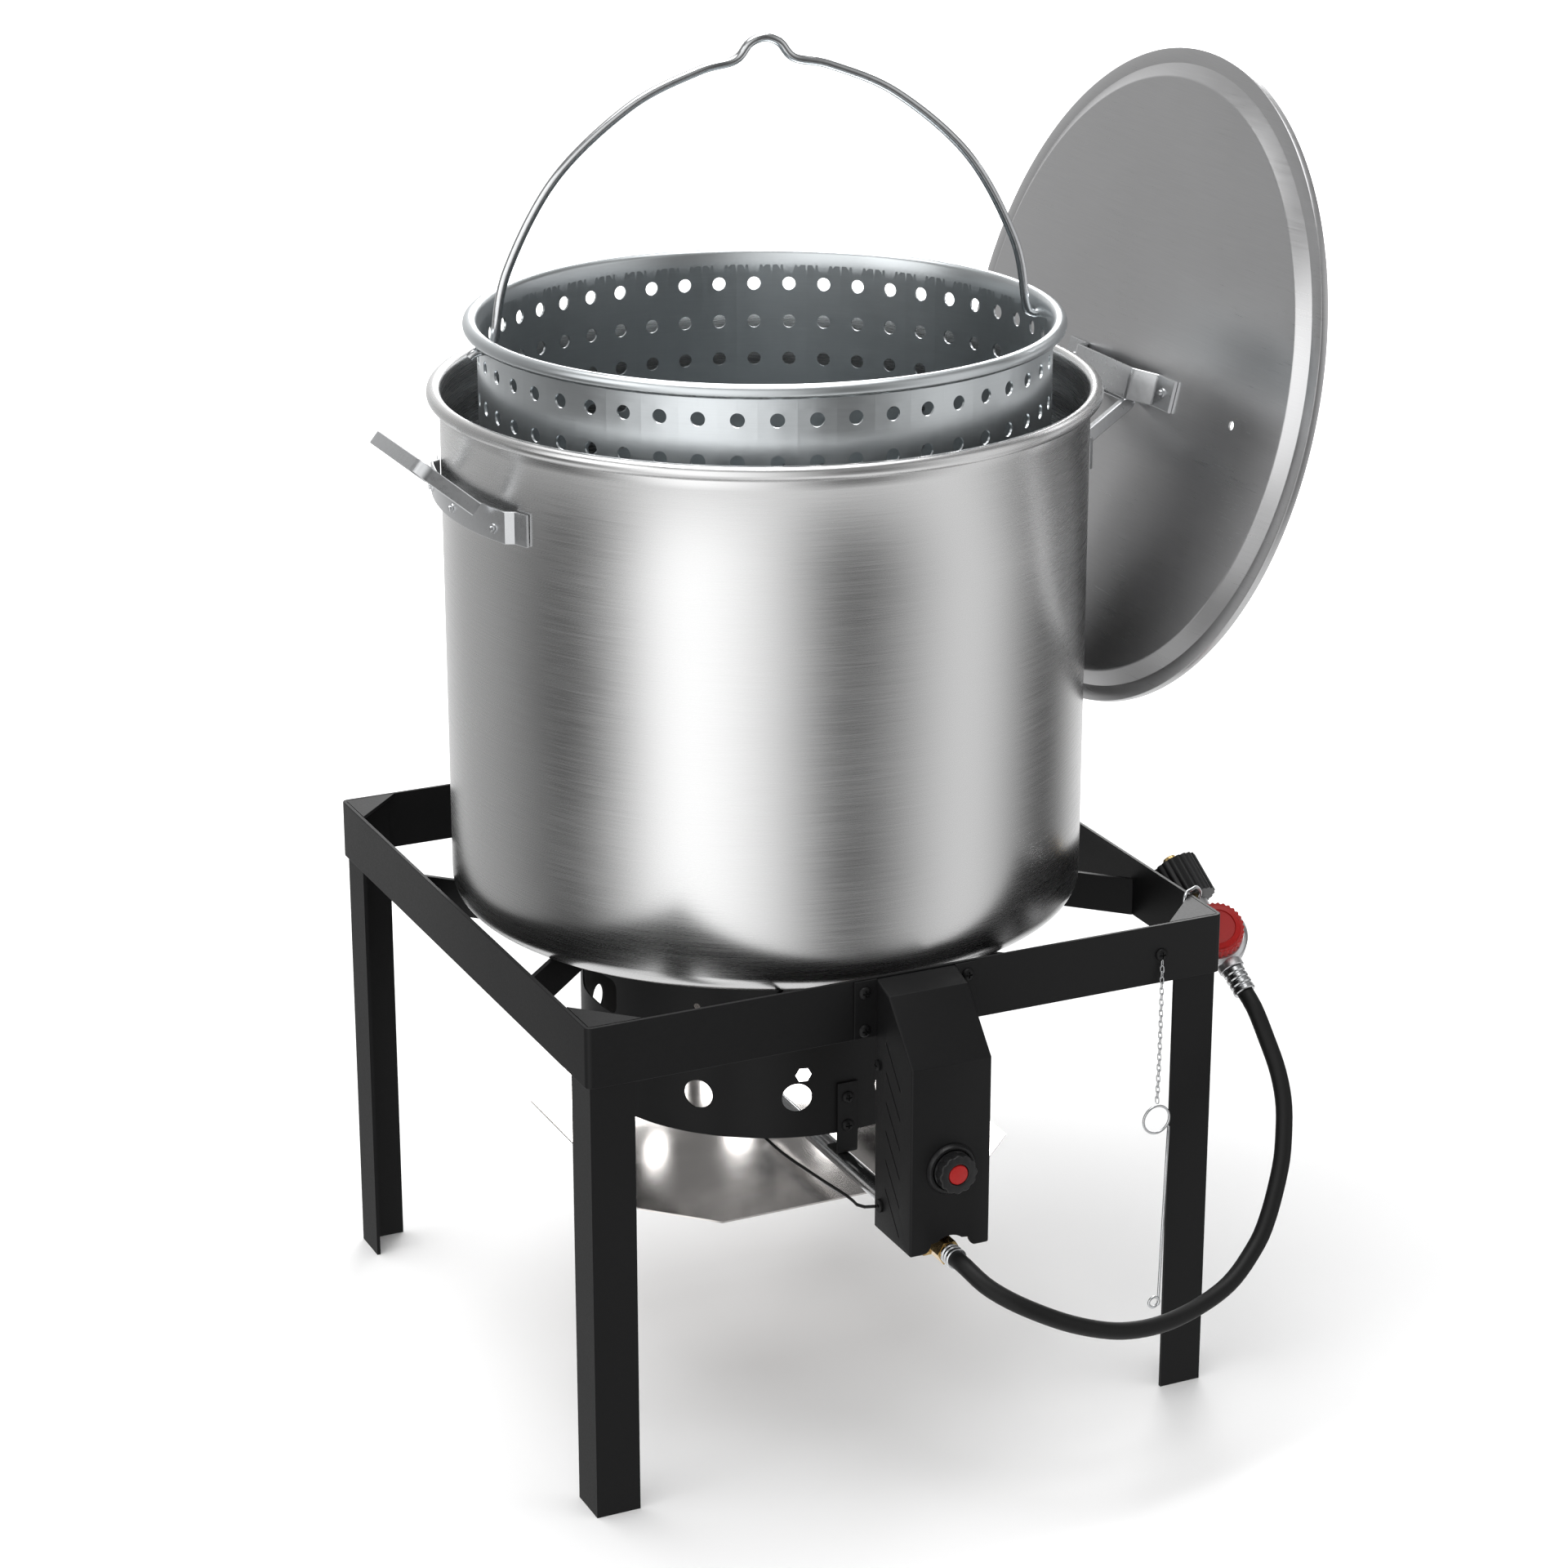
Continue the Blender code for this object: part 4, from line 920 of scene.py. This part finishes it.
def make_regulator(looks):
    """Die-cast body, ribbed red dial, ribbed black coupling nut and brass nipple."""
    level = from_axes(FLOW.cross(DIAL_UP), FLOW, DIAL_UP)
    radius = REGULATOR_RADIUS
    top = REGULATOR_TOP
    disc = [(0, -0.0095), (0.016, -0.0095), (0.0185, -0.0088), (radius, -0.0055), (radius, -0.0010)]
    disc += [(radius - 0.0008, -0.0006), (radius - 0.0008, 0.0006), (radius, 0.0010), (radius, 0.0060)]
    disc += [(radius - 0.0012, 0.0078), (0.0193, top), (0, top)]
    neck = [(0, -0.0285), (0.0085, -0.0285), (0.009, -0.028)]
    neck += [(0.009, 0.0252), (0.0085, 0.0257), (0, 0.0257)]
    body = put("regulator", turned(disc, 96), looks["cast"], "stand", "regulator_body", REGULATOR, level)
    cut(body, turned(neck, 40), REGULATOR, along(FLOW), "UNION")
    resharpen(body)
    dial_place = REGULATOR + DIAL_UP * (top + 0.0003)
    grip = prism(ribbed(0.0186, 0.0011, 30), DIAL_DEPTH)
    dished = [(0, 0), (0.0160, 0), (0.0155, 0.0012), (0.0125, 0.0020), (0.0120, 0.0012), (0, 0.0010)]
    cap = moved(turned(dished, 64), (0, 0, DIAL_DEPTH))
    dial = put("dial", grip, looks["red"], "dial", "regulator_dial", dial_place, level, bevel=0.0005)
    face = put("dial_face", cap, looks["red"], "dial", (), dial_place, level)
    inlet = along(-FLOW)
    nut = make_nut(looks, inlet)
    nipple = make_nipple(looks, inlet)
    return [body, dial, face, nut, nipple]


def make_nipple(looks, inlet):
    radius = 0.0063
    thread = 0.0014
    profile = [(0, 0.0288), (radius, 0.0288), (radius, 0.0560)]
    for i in range(3):
        profile += [(radius, 0.0568 + i * thread), (0.0056, 0.0574 + i * thread)]
    profile += [(0.0058, 0.0615), (0.0045, 0.066), (0.002, 0.066), (0.002, 0.062), (0, 0.062)]
    return put("nipple", turned(profile, 40), looks["brass"], "stand", "coupling_nipple", REGULATOR, inlet)


def make_nut(looks, inlet):
    grip = prism(ribbed(0.0170, 0.0012, 20), NUT_END - NUT_START, NUT_START)
    nut = put("coupling_grip", grip, looks["black"], "nut", "coupling_nut", REGULATOR, inlet)
    cut(nut, rod(0.0068, 0.05, 32, 0.025), REGULATOR, inlet)
    cut(nut, rod(0.0115, 0.05, 48, NUT_START + 0.006), REGULATOR, inlet)
    resharpen(nut)
    return nut


# Stand


def frame_prism(outer, inner, bottom, top):
    """A hollow prism between two outlines with as many points each."""
    count = len(outer)
    vertices = []
    for outline, height in ((outer, bottom), (outer, top), (inner, top), (inner, bottom)):
        vertices += [(x, y, height) for x, y in outline]
    faces = []
    for ring in range(4):
        low = ring * count
        high = (ring + 1) % 4 * count
        for i in range(count):
            j = (i + 1) % count
            faces.append((low + i, low + j, high + j, high + i))
    return vertices, faces


def make_stand(looks):
    outer = rounded_rectangle(2 * HALF_STAND, 2 * HALF_STAND, CORNER_BEND)
    inner = rounded_rectangle(2 * RAIL_INNER, 2 * RAIL_INNER, CORNER_BEND - BAND_THICKNESS)
    rails = ("front_rail", "right_rail", "rear_rail", "left_rail")
    band = frame_prism(outer, inner, BAND_BOTTOM, STAND_HEIGHT)
    put("band", band, looks["coat"], "stand", rails, bevel=0.0005)


# Burner


def make_burner(looks):
    inner = SHROUD_RADIUS - SHROUD_WALL
    profile = [(SHROUD_RADIUS, SHROUD_BOTTOM), (SHROUD_RADIUS, SHROUD_TOP)]
    profile += [(inner, SHROUD_TOP), (inner, SHROUD_BOTTOM)]
    shroud = put("shroud", turned(profile, 192), looks["coat"], "stand", "burner_shroud")
    holes = []
    for i in range(AIR_HOLE_COUNT):
        angle = AIR_HOLE_FIRST + i * 360 / AIR_HOLE_COUNT
        hole = rod(AIR_HOLE_RADIUS, DEEP, 36, SHROUD_INSIDE)
        holes.append(moved(hole, (0, 0, AIR_HOLE_Z), radial(angle)))
    for radius, sides, height, angle in SINGLE_HOLES:
        holes.append(moved(rod(radius, DEEP, sides, SHROUD_INSIDE), (0, 0, height), radial(angle)))
    window = rounded_rectangle(WINDOW_WIDTH, WINDOW_HEIGHT, WINDOW_CORNER)
    holes.append(moved(prism(window, DEEP, SHROUD_INSIDE), (0, 0, WINDOW_Z), radial(180)))
    cut(shroud, together(*holes))
    resharpen(shroud)
    for i, node in enumerate(("bracket_screw_upper", "bracket_screw_lower")):
        place = (0, BRACKET_FACE, BRACKET_SCREWS[i])
        phillips_screw(f"bracket_bolt_{i}", looks["coat"], "stand", place, FACING_FRONT, node)
    make_burner_head(looks)
    make_gas_tube(looks)


def make_burner_head(looks):
    """Cast bell with a ring of flame ports round its top edge."""
    outer = [(0, BURNER_TOP), (0.0435, BURNER_TOP), (0.0452, 0.2612), (BURNER_RADIUS, 0.257)]
    outer += [(BURNER_RADIUS, 0.240), (0.0465, 0.2375), (0.022, 0.227), (0.0185, 0.222)]
    outer.append((0.018, BURNER_BASE))
    inner = [(0.013, BURNER_BASE), (0.014, 0.228), (0.043, 0.242), (0.043, 0.256), (0, 0.257)]
    head = put("burner", turned(outer + inner, 72), looks["cast"], "stand", "burner_head")
    port = box((0.040, -0.0009, 0.2595), (0.052, 0.0009, 0.2640))
    ports = [moved(port, turn=(0, 0, 2 * pi * i / FLAME_PORTS)) for i in range(FLAME_PORTS)]
    cut(head, together(*ports))
    resharpen(head)


def make_gas_tube(looks):
    elbow = arc((-ELBOW_RADIUS, TUBE_Z + ELBOW_RADIUS), ELBOW_RADIUS, -90, 0, 12)
    line = [(0, VALVE_REAR + 0.0003, TUBE_Z)]
    line += [(0, y, z) for y, z in elbow]
    line.append((0, 0, SPUD_BOTTOM - 0.0003))
    put("supply_tube", tube(line, TUBE_RADIUS, 32), looks["plated"], "stand", "gas_tube")


# Control box


def make_control_box(looks):
    """Folded cover with rounded front edges, flanges on the rail, louvres and a notch for the hose."""
    outline = rounded(BOX_PROFILE + [(BOX_REAR, BOX_BOTTOM), BOX_PROFILE[0]], BOX_SHEET)[:-1]
    block = prism(outline, 2 * BOX_HALF, -BOX_HALF)
    cover = put("cover_box", block, looks["coat"], "stand", "control_box", turn=FACING_RIGHT)
    round_front_edges(cover)
    inside = [(0, BOX_TOP - BOX_SHEET)]
    inside += [(y + BOX_SHEET, z - BOX_SHEET * 0.4) for y, z in BOX_PROFILE[:3]]
    inside += [(BOX_FRONT + BOX_SHEET, BOX_BOTTOM - DEEP), (0, BOX_BOTTOM - DEEP)]
    inner_half = BOX_HALF - BOX_SHEET
    cut(cover, prism(inside, 2 * inner_half, -inner_half), turn=FACING_RIGHT)
    slots = []
    for i in range(LOUVRE_COUNT):
        start = LOUVRE_TOP - i * LOUVRE_PITCH
        end = start - LOUVRE_DROP
        slot = [(LOUVRE_REAR, start), (LOUVRE_FRONT, end)]
        slot += [(LOUVRE_FRONT, end - LOUVRE_WIDTH), (LOUVRE_REAR, start - LOUVRE_WIDTH)]
        slots.append(moved(prism(slot, 0.08, -0.04), turn=FACING_RIGHT))
    below = BOX_BOTTOM - DEEP
    above = BOX_BOTTOM + NOTCH_CORNER
    notch = [(-NOTCH_HALF, below), (NOTCH_HALF, below), (NOTCH_HALF, BOX_BOTTOM)]
    notch += arc((NOTCH_HALF, above), NOTCH_CORNER, -90, -180, 6)
    notch += arc((0, BOX_BOTTOM - 0.0028), NOTCH_RADIUS, 50, 130, 8)
    notch += arc((-NOTCH_HALF, above), NOTCH_CORNER, 0, -90, 6)
    slots.append(moved(prism(notch, DEEP), (0, -0.265, 0), FACING_FRONT))
    cut(cover, together(*slots))
    resharpen(cover)
    add_flanges(looks["coat"])
    place = (-BOX_HALF, -0.2339, 0.2874)
    phillips_screw("box_screw", looks["coat"], "stand", place, FACING_LEFT, radius=0.0035)


def add_flanges(coat):
    rear = BOX_REAR - BOX_SHEET
    for name, side in (("left", -1), ("right", 1)):
        low, high = sorted((side * (BOX_HALF - 0.0005), side * FLANGE_OUTER))
        flange = box((low, rear, FLANGE_BOTTOM), (high, BOX_REAR, BOX_TOP))
        put(f"flange_{name}", flange, coat, "stand", "control_box", bevel=SHEET_EDGE)
        for i, height in enumerate(FLANGE_SCREWS):
            place = (side * FLANGE_SCREW_X, rear, height)
            phillips_screw(f"flange_screw_{name}_{i}", coat, "stand", place, FACING_FRONT)


def round_front_edges(cover):
    """Bevels the long edges of the folded cover before it is hollowed."""
    add_bevel(cover, 0.0016, 4, 60)
    graph = bpy.context.evaluated_depsgraph_get()
    bpy.context.view_layer.update()
    mesh = bpy.data.meshes.new_from_object(cover.evaluated_get(graph))
    cover.modifiers.clear()
    cover.data = mesh


def make_knob(looks):
    bezel = [(0.0141, 0), (0.0175, 0), (0.0175, 0.0008)]
    bezel += [(0.0160, 0.0028), (0.0150, 0.0030), (0.0141, 0.0026)]
    put("bezel", turned(bezel, 72), looks["black"], "stand", "knob_bezel", KNOB_PLACE, FACING_FRONT)
    skirt = [(0.0072, 0), (0.0132, 0), (0.0132, 0.0030)]
    skirt += [(0.0122, 0.0034), (0.0122, 0.0040), (0.0072, 0.0040)]
    put("knob_skirt", turned(skirt, 64), looks["black"], "knob", "gas_knob", KNOB_PLACE, FACING_FRONT)
    grip = prism(ribbed(KNOB_RADIUS, 0.0010, 12, 8), KNOB_DEPTH - 0.0038, 0.0038)
    knob = put("knob_grip", grip, looks["black"], "knob", "gas_knob", KNOB_PLACE, FACING_FRONT)
    add_bevel(knob, 0.0011, 3, 60)
    cut(knob, rod(BUTTON_RADIUS + 0.0003, DEEP, 48), KNOB_PLACE, FACING_FRONT)
    resharpen(knob)
    back = KNOB_DEPTH - 0.0034
    button = [(0, back), (BUTTON_RADIUS, back), (BUTTON_RADIUS, KNOB_DEPTH - 0.0008)]
    button += [(BUTTON_RADIUS - 0.0003, KNOB_DEPTH - 0.0003), (BUTTON_RADIUS - 0.0009, KNOB_DEPTH)]
    button.append((0, KNOB_DEPTH))
    put("button", turned(button, 48), looks["red"], "button", "igniter_button", KNOB_PLACE, FACING_FRONT)


# Lighting stick


def chain_link(half_length, half_width, wire_radius):
    """One long link in the XZ plane."""
    line = [(x, 0, z) for x, z in arc((0, half_length - half_width), half_width, 0, 180, 6)]
    line += [(-x, y, -z) for x, y, z in line]
    return tube(line, wire_radius, 6, closed=True)


def make_lighting_stick(looks):
    place = (0.1823, -HALF_STAND - 0.0002, 0.3254)
    phillips_screw("chain_bolt", looks["coat"], "stand", place, FACING_FRONT, "chain_screw")
    links = []
    for i in range(CHAIN_LINKS):
        share = (i + 0.5) / CHAIN_LINKS
        centre = CHAIN_TOP.lerp(CHAIN_BOTTOM, share) + Vector((0, -0.004 * share * (1 - share), 0))
        link = chain_link(LINK_HALF, LINK_HALF_WIDTH, LINK_WIRE)
        links.append(moved(link, centre, (0, 0.066, radians(35 + 90 * (i % 2)))))
    put("chain", together(*links), looks["plated"], "chain", "lighting_chain", smooth=180)
    ring = tube([(x, 0, z) for x, z in circle(RING_RADIUS, 64)], RING_WIRE, 10, closed=True)
    put("ring", ring, looks["plated"], "ring", "lighting_ring", RING_CENTRE)
    line = [(0.0033, 0, 0.1297), (0.0016, 0, 0.065), (0, 0, 0.004)]
    for step in range(EYE_STEPS + 1):
        angle = radians(-step * 10)
        line.append((EYE_RADIUS * (cos(angle) - 1), -0.00002 * step, EYE_RADIUS * sin(angle)))
    striker = tube(line, ROD_RADIUS, 10)
    put("striker_rod", striker, looks["plated"], "stick", "lighting_rod", ROD_PLACE, smooth=180)


# Pot


def make_pot(looks):
    """Spun pot with a rolled bead over a small step."""
    inner = POT_RADIUS - POT_WALL
    corner = POT_RADIUS - POT_CORNER
    profile = [(0, POT_BASE), (0.12, POT_BASE)]
    profile += arc((corner, POT_BASE + POT_CORNER), POT_CORNER, -90, 0, 10)
    profile += [(POT_RADIUS, 0.40), (POT_RADIUS, 0.50), (POT_RADIUS, 0.60), (POT_RADIUS, 0.6655)]
    profile += [(POT_RADIUS + 0.0007, 0.6668), (POT_RADIUS + 0.0007, 0.6728)]
    profile += arc((POT_BEAD_RADIUS, POT_RIM_Z), POT_BEAD, -95, 178, 22)
    profile += [(inner, POT_RIM_Z - 0.006), (inner, 0.60), (inner, 0.45)]
    profile += arc((corner, POT_BASE + POT_CORNER), POT_CORNER - POT_WALL, 0, -90, 8)
    profile += [(0, POT_BASE + POT_WALL)]
    put("pot_body", turned(profile, 288), looks["brushed"], "pot", "pot_shell", smooth=60)
    sides = (("left", 180, LEFT_GRIP, HANDLE_HALF), ("right", 0, RIGHT_GRIP, RIGHT_HALF))
    for name, angle, grip, half in sides:
        make_bracket(looks, name, angle)
        make_handle(looks, name, angle, grip, half)


def make_bracket(looks, name, angle):
    """Curved strap that stands off the wall, with folded feet and three rivets."""
    stand_off = BRACKET_OUTER - BRACKET_THICKNESS / 2
    on_wall = POT_RADIUS + 0.0005 + BRACKET_THICKNESS / 2
    line = arc((0, 0), on_wall, -21.5, -18.4, 3) + arc((0, 0), stand_off, -17.3, 17.3, 40)
    line += arc((0, 0), on_wall, 18.4, 21.5, 3)
    half = BRACKET_THICKNESS / 2
    section = rounded_rectangle(BRACKET_THICKNESS, BRACKET_WIDTH, half * 0.6, 3)
    section = [(x, y + BRACKET_BOTTOM + BRACKET_WIDTH / 2) for x, y in section]
    put(f"bracket_{name}", sweep(section, line), looks["satin"], "pot", f"handle_bracket_{name}",
        turn=(0, 0, radians(angle)))
    for i, place in enumerate(RIVETS):
        turn = radians(angle + place)
        spot = Vector((cos(turn), sin(turn), 0)) * BRACKET_OUTER + Vector((0, 0, RIVET_Z))
        rivet(f"rivet_{name}_{i}", looks["satin"], "pot", spot, radial(angle + place))


def channel(deep, wide):
    """Section of a flat bar with bevelled corners and a shallow groove in its outer face."""
    edge = 0.0006
    groove = deep - 0.0016
    section = [(-deep, -wide + edge), (-deep + edge, -wide), (deep - edge, -wide), (deep, -wide + edge)]
    section += [(deep, -wide + 0.0014), (groove, -wide + 0.0024)]
    section += [(groove, wide - 0.0024), (deep, wide - 0.0014)]
    section += [(deep, wide - edge), (deep - edge, wide), (-deep + edge, wide), (-deep, wide - edge)]
    return section


def make_handle(looks, name, angle, grip, half_grip):
    """Channel-section bar bent to a U, sloping up and outward."""
    slope = Vector(grip) - Vector((HANDLE_ROOT, HANDLE_Z))
    rise = atan2(slope.y, slope.x)
    behind = sqrt(BRACKET_OUTER**2 - (HANDLE_HALF - HANDLE_BAR / 2) ** 2)
    start = (behind + 0.0009 + HANDLE_DEPTH / 2 * sin(rise) - HANDLE_ROOT) / cos(rise)
    length = slope.length
    line = [(start, -HANDLE_HALF), (length, -half_grip), (length, half_grip), (start, HANDLE_HALF)]
    section = channel(HANDLE_BAR / 2, HANDLE_DEPTH / 2)
    turn = radians(angle)
    location = (HANDLE_ROOT * cos(turn), 0, HANDLE_Z)
    rotation = Matrix.Rotation(turn, 3, "Z") @ Matrix.Rotation(-rise, 3, "Y")
    bar = sweep(section, rounded(line, 0.008, 10))
    put(f"handle_{name}", bar, looks["satin"], "pot", f"pot_handle_{name}", location, rotation.to_euler(),
        smooth=35)


# Lid


def make_lid(looks):
    """Pressed lid: raised middle, bright bevel, flat flange and a short lip."""
    rim = LID_RADIUS
    under = LID_RAISE - LID_SHEET
    panel = LID_PANEL_RADIUS
    step = LID_STEP_RADIUS
    lip = -0.005
    profile = [(0, LID_RAISE), (0.10, LID_RAISE), (panel - 0.0012, LID_RAISE)]
    profile += [(panel - 0.0004, LID_RAISE - 0.0001), (panel + 0.0004, LID_RAISE - 0.0006)]
    profile += [(step - 0.0010, 0.0004), (step - 0.0002, 0), (step + 0.0008, 0)]
    profile += [(rim - 0.0014, 0), (rim - 0.0004, -0.0004), (rim, -0.0014), (rim, lip)]
    profile += [(rim - LID_SHEET, lip), (rim - LID_SHEET, -LID_SHEET), (step - 0.0007, -LID_SHEET)]
    profile += [(panel - 0.0007, under), (0, under)]
    level = from_axes(LID_UP, LID_NORMAL.cross(LID_UP), LID_NORMAL)
    lid = put("lid_plate", turned(profile, 256), looks["lid"], "cover", "lid", LID_CENTRE, level, smooth=25)
    cut(lid, rod(VENT_RADIUS, DEEP, 32, -DEEP / 2), VENT_PLACE, level)
    resharpen(lid, 25)
    foot = LID_RAISE + 0.0003 + LID_HANDLE_STRAP / 2
    top = LID_HANDLE_RISE
    corners = [(-0.0725, foot), (-0.0505, foot), (-0.038, top)]
    corners += [(-x, height) for x, height in reversed(corners)]
    line = rounded(corners, 0.004, 8)
    section = rounded_rectangle(LID_HANDLE_STRAP, LID_HANDLE_WIDTH, 0.0009, 3)
    level = from_axes(Vector((0, 1, 0)), LID_NORMAL, Vector((0, 1, 0)).cross(LID_NORMAL))
    put("lid_grip", sweep(section, line), looks["satin"], "cover", "lid_handle", LID_CENTRE, level)
    for name, side in (("front", -1), ("rear", 1)):
        spot = LID_CENTRE + Vector((0, side * LID_RIVET_Y, 0)) + LID_NORMAL * (foot + LID_HANDLE_STRAP / 2)
        rivet(f"lid_rivet_{name}", looks["satin"], "cover", spot, along(LID_NORMAL))


# Basket


def perforated_wall(inner, outer, hole_radius, pitch, rows, count, top, shift):
    """A round wall of square cells, each with a round hole, open at its top and bottom edges."""
    sides = 24
    vertices = []
    faces = []

    def point(radius, angle, height):
        vertices.append((radius * cos(angle), radius * sin(angle), height))
        return len(vertices) - 1

    cell = 2 * pi / count
    for row in range(rows):
        middle_z = top - row * pitch
        for column in range(count):
            middle = shift + column * cell
            rings = []
            for radius in (outer, inner):
                edge = []
                hole = []
                for k in range(sides):
                    angle = 2 * pi * k / sides
                    x = cos(angle)
                    y = sin(angle)
                    stretch = 1 / max(abs(x), abs(y))
                    across = middle + x * stretch * cell / 2
                    edge.append(point(radius, across, middle_z + y * stretch * pitch / 2))
                    across = middle + x * hole_radius / outer
                    hole.append(point(radius, across, middle_z + y * hole_radius))
                rings.append((edge, hole))
            (outer_edge, outer_hole), (inner_edge, inner_hole) = rings
            for k in range(sides):
                j = (k + 1) % sides
                faces.append((outer_edge[k], outer_edge[j], outer_hole[j], outer_hole[k]))
                faces.append((inner_edge[j], inner_edge[k], inner_hole[k], inner_hole[j]))
                faces.append((outer_hole[k], outer_hole[j], inner_hole[j], inner_hole[k]))
    return vertices, faces


def make_basket(looks):
    """Perforated wall and bottom under a rolled rim."""
    inner = BASKET_RADIUS - BASKET_WALL
    wall_top = TOP_HOLES_Z + HOLE_PITCH / 2
    wall_bottom = wall_top - HOLE_ROWS * HOLE_PITCH
    turn = (0, 0, BASKET_TURN)
    first = radians(7.5) - BASKET_TURN
    wall = perforated_wall(inner, BASKET_RADIUS, HOLE_RADIUS, HOLE_PITCH, HOLE_ROWS, HOLES_ROUND,
                           TOP_HOLES_Z, first)
    rim_low = wall_top - 0.0065
    rim = [(BASKET_RADIUS, rim_low), (BASKET_RADIUS, BASKET_RIM_Z - 0.0052)]
    rim += arc((BASKET_RIM_RADIUS, BASKET_RIM_Z), BASKET_BEAD, -115, 178, 20)
    rim += [(inner, BASKET_RIM_Z - 0.004), (inner, rim_low)]
    base = BASKET_BOTTOM
    corner = (BASKET_RADIUS - BASKET_CORNER, base + BASKET_CORNER)
    foot = [(0, base)] + arc(corner, BASKET_CORNER, -90, 0, 8)
    foot += [(BASKET_RADIUS, wall_bottom), (inner, wall_bottom)]
    foot += arc(corner, BASKET_CORNER - BASKET_WALL, 0, -90, 6)
    foot += [(0, base + BASKET_WALL)]
    bottom = put("basket_bottom", turned(foot, 192), looks["basket"], "basket_body", "basket", turn=turn)
    holes = []
    for ring in range(1, BOTTOM_RINGS + 1):
        count = 6 * ring
        for i in range(count):
            spot = Vector((BOTTOM_PITCH * ring, 0, base - 0.01))
            spot.rotate(Matrix.Rotation(2 * pi * i / count, 3, "Z"))
            holes.append(moved(rod(HOLE_RADIUS, DEEP, 20), spot))
    cut(bottom, together(*holes), turn=turn)
    resharpen(bottom)
    put("basket_wall", wall, looks["basket"], "basket_body", "basket", turn=turn)
    rim = turned(rim, 240)
    top = put("basket_rim", rim, looks["basket"], "basket_body", "basket", turn=turn, smooth=60)
    across = (pi / 2, 0, pi / 2 + BASKET_TURN)
    cut(top, rod(BAIL_WIRE + 0.0005, 0.5, 24, -0.25), (0, 0, BAIL_Z), across)
    resharpen(top, 60)


def make_bail(looks):
    """Wire hoop whose ends go out through the wall under the rim and turn down."""
    line = [(x, 0, z) for x, z in BAIL_HALF] + [(-x, 0, z) for x, z in reversed(BAIL_HALF[:-1])]
    put("bail_hoop", tube(smooth_route(line, 0.0025), BAIL_WIRE, 20), looks["plated"], "bail_body", "bail",
        (0, 0, BAIL_Z), (0, 0, BASKET_TURN), smooth=60)


def make_hanger(looks):
    """Wire round the regulator's neck and over the right rail."""
    middle = REGULATOR - FLOW * HANGER_NECK
    side = FLOW.cross(DIAL_UP)
    loop = [middle + side * x + DIAL_UP * y for x, y in arc((0, 0), HANGER_LOOP, 90, -150, 8)]
    over = STAND_HEIGHT + 0.0015
    route = [
        (0.2205, -0.193, 0.336),
        (0.2205, -0.192, 0.3445),
        (0.2235, -0.1895, over + 0.0006),
        (0.2300, -0.1850, over + 0.0004),
        (0.2375, -0.1790, over - 0.0012),
        middle + DIAL_UP * 0.027,
        middle + DIAL_UP * 0.018,
    ] + loop
    wire = tube(smooth_route(route, 0.002), HANGER_WIRE, 12)
    put("hanger_wire", wire, looks["plated"], "stand", "regulator_hanger", smooth=180)


def dress_cad_nodes(looks):
    """Gives its finish to everything that is still the CAD solid."""
    for entry in frame["record"]["subparts"]:
        node = frame["nodes"][entry["node"]]
        node.data.materials.clear()
        node.data.materials.append(looks[LOOK_OF_SLOT[entry["material_slot"]]][0])
        if entry["node"].startswith(FOLDED_SHEET):
            add_bevel(node, SHEET_EDGE, 2, 30)


looks = make_looks()
make_camera()
make_hose(looks)
make_stage()
make_stand(looks)
make_burner(looks)
make_control_box(looks)
make_knob(looks)
make_lighting_stick(looks)
make_pot(looks)
make_lid(looks)
make_basket(looks)
make_bail(looks)
make_hanger(looks)
dress_cad_nodes(looks)
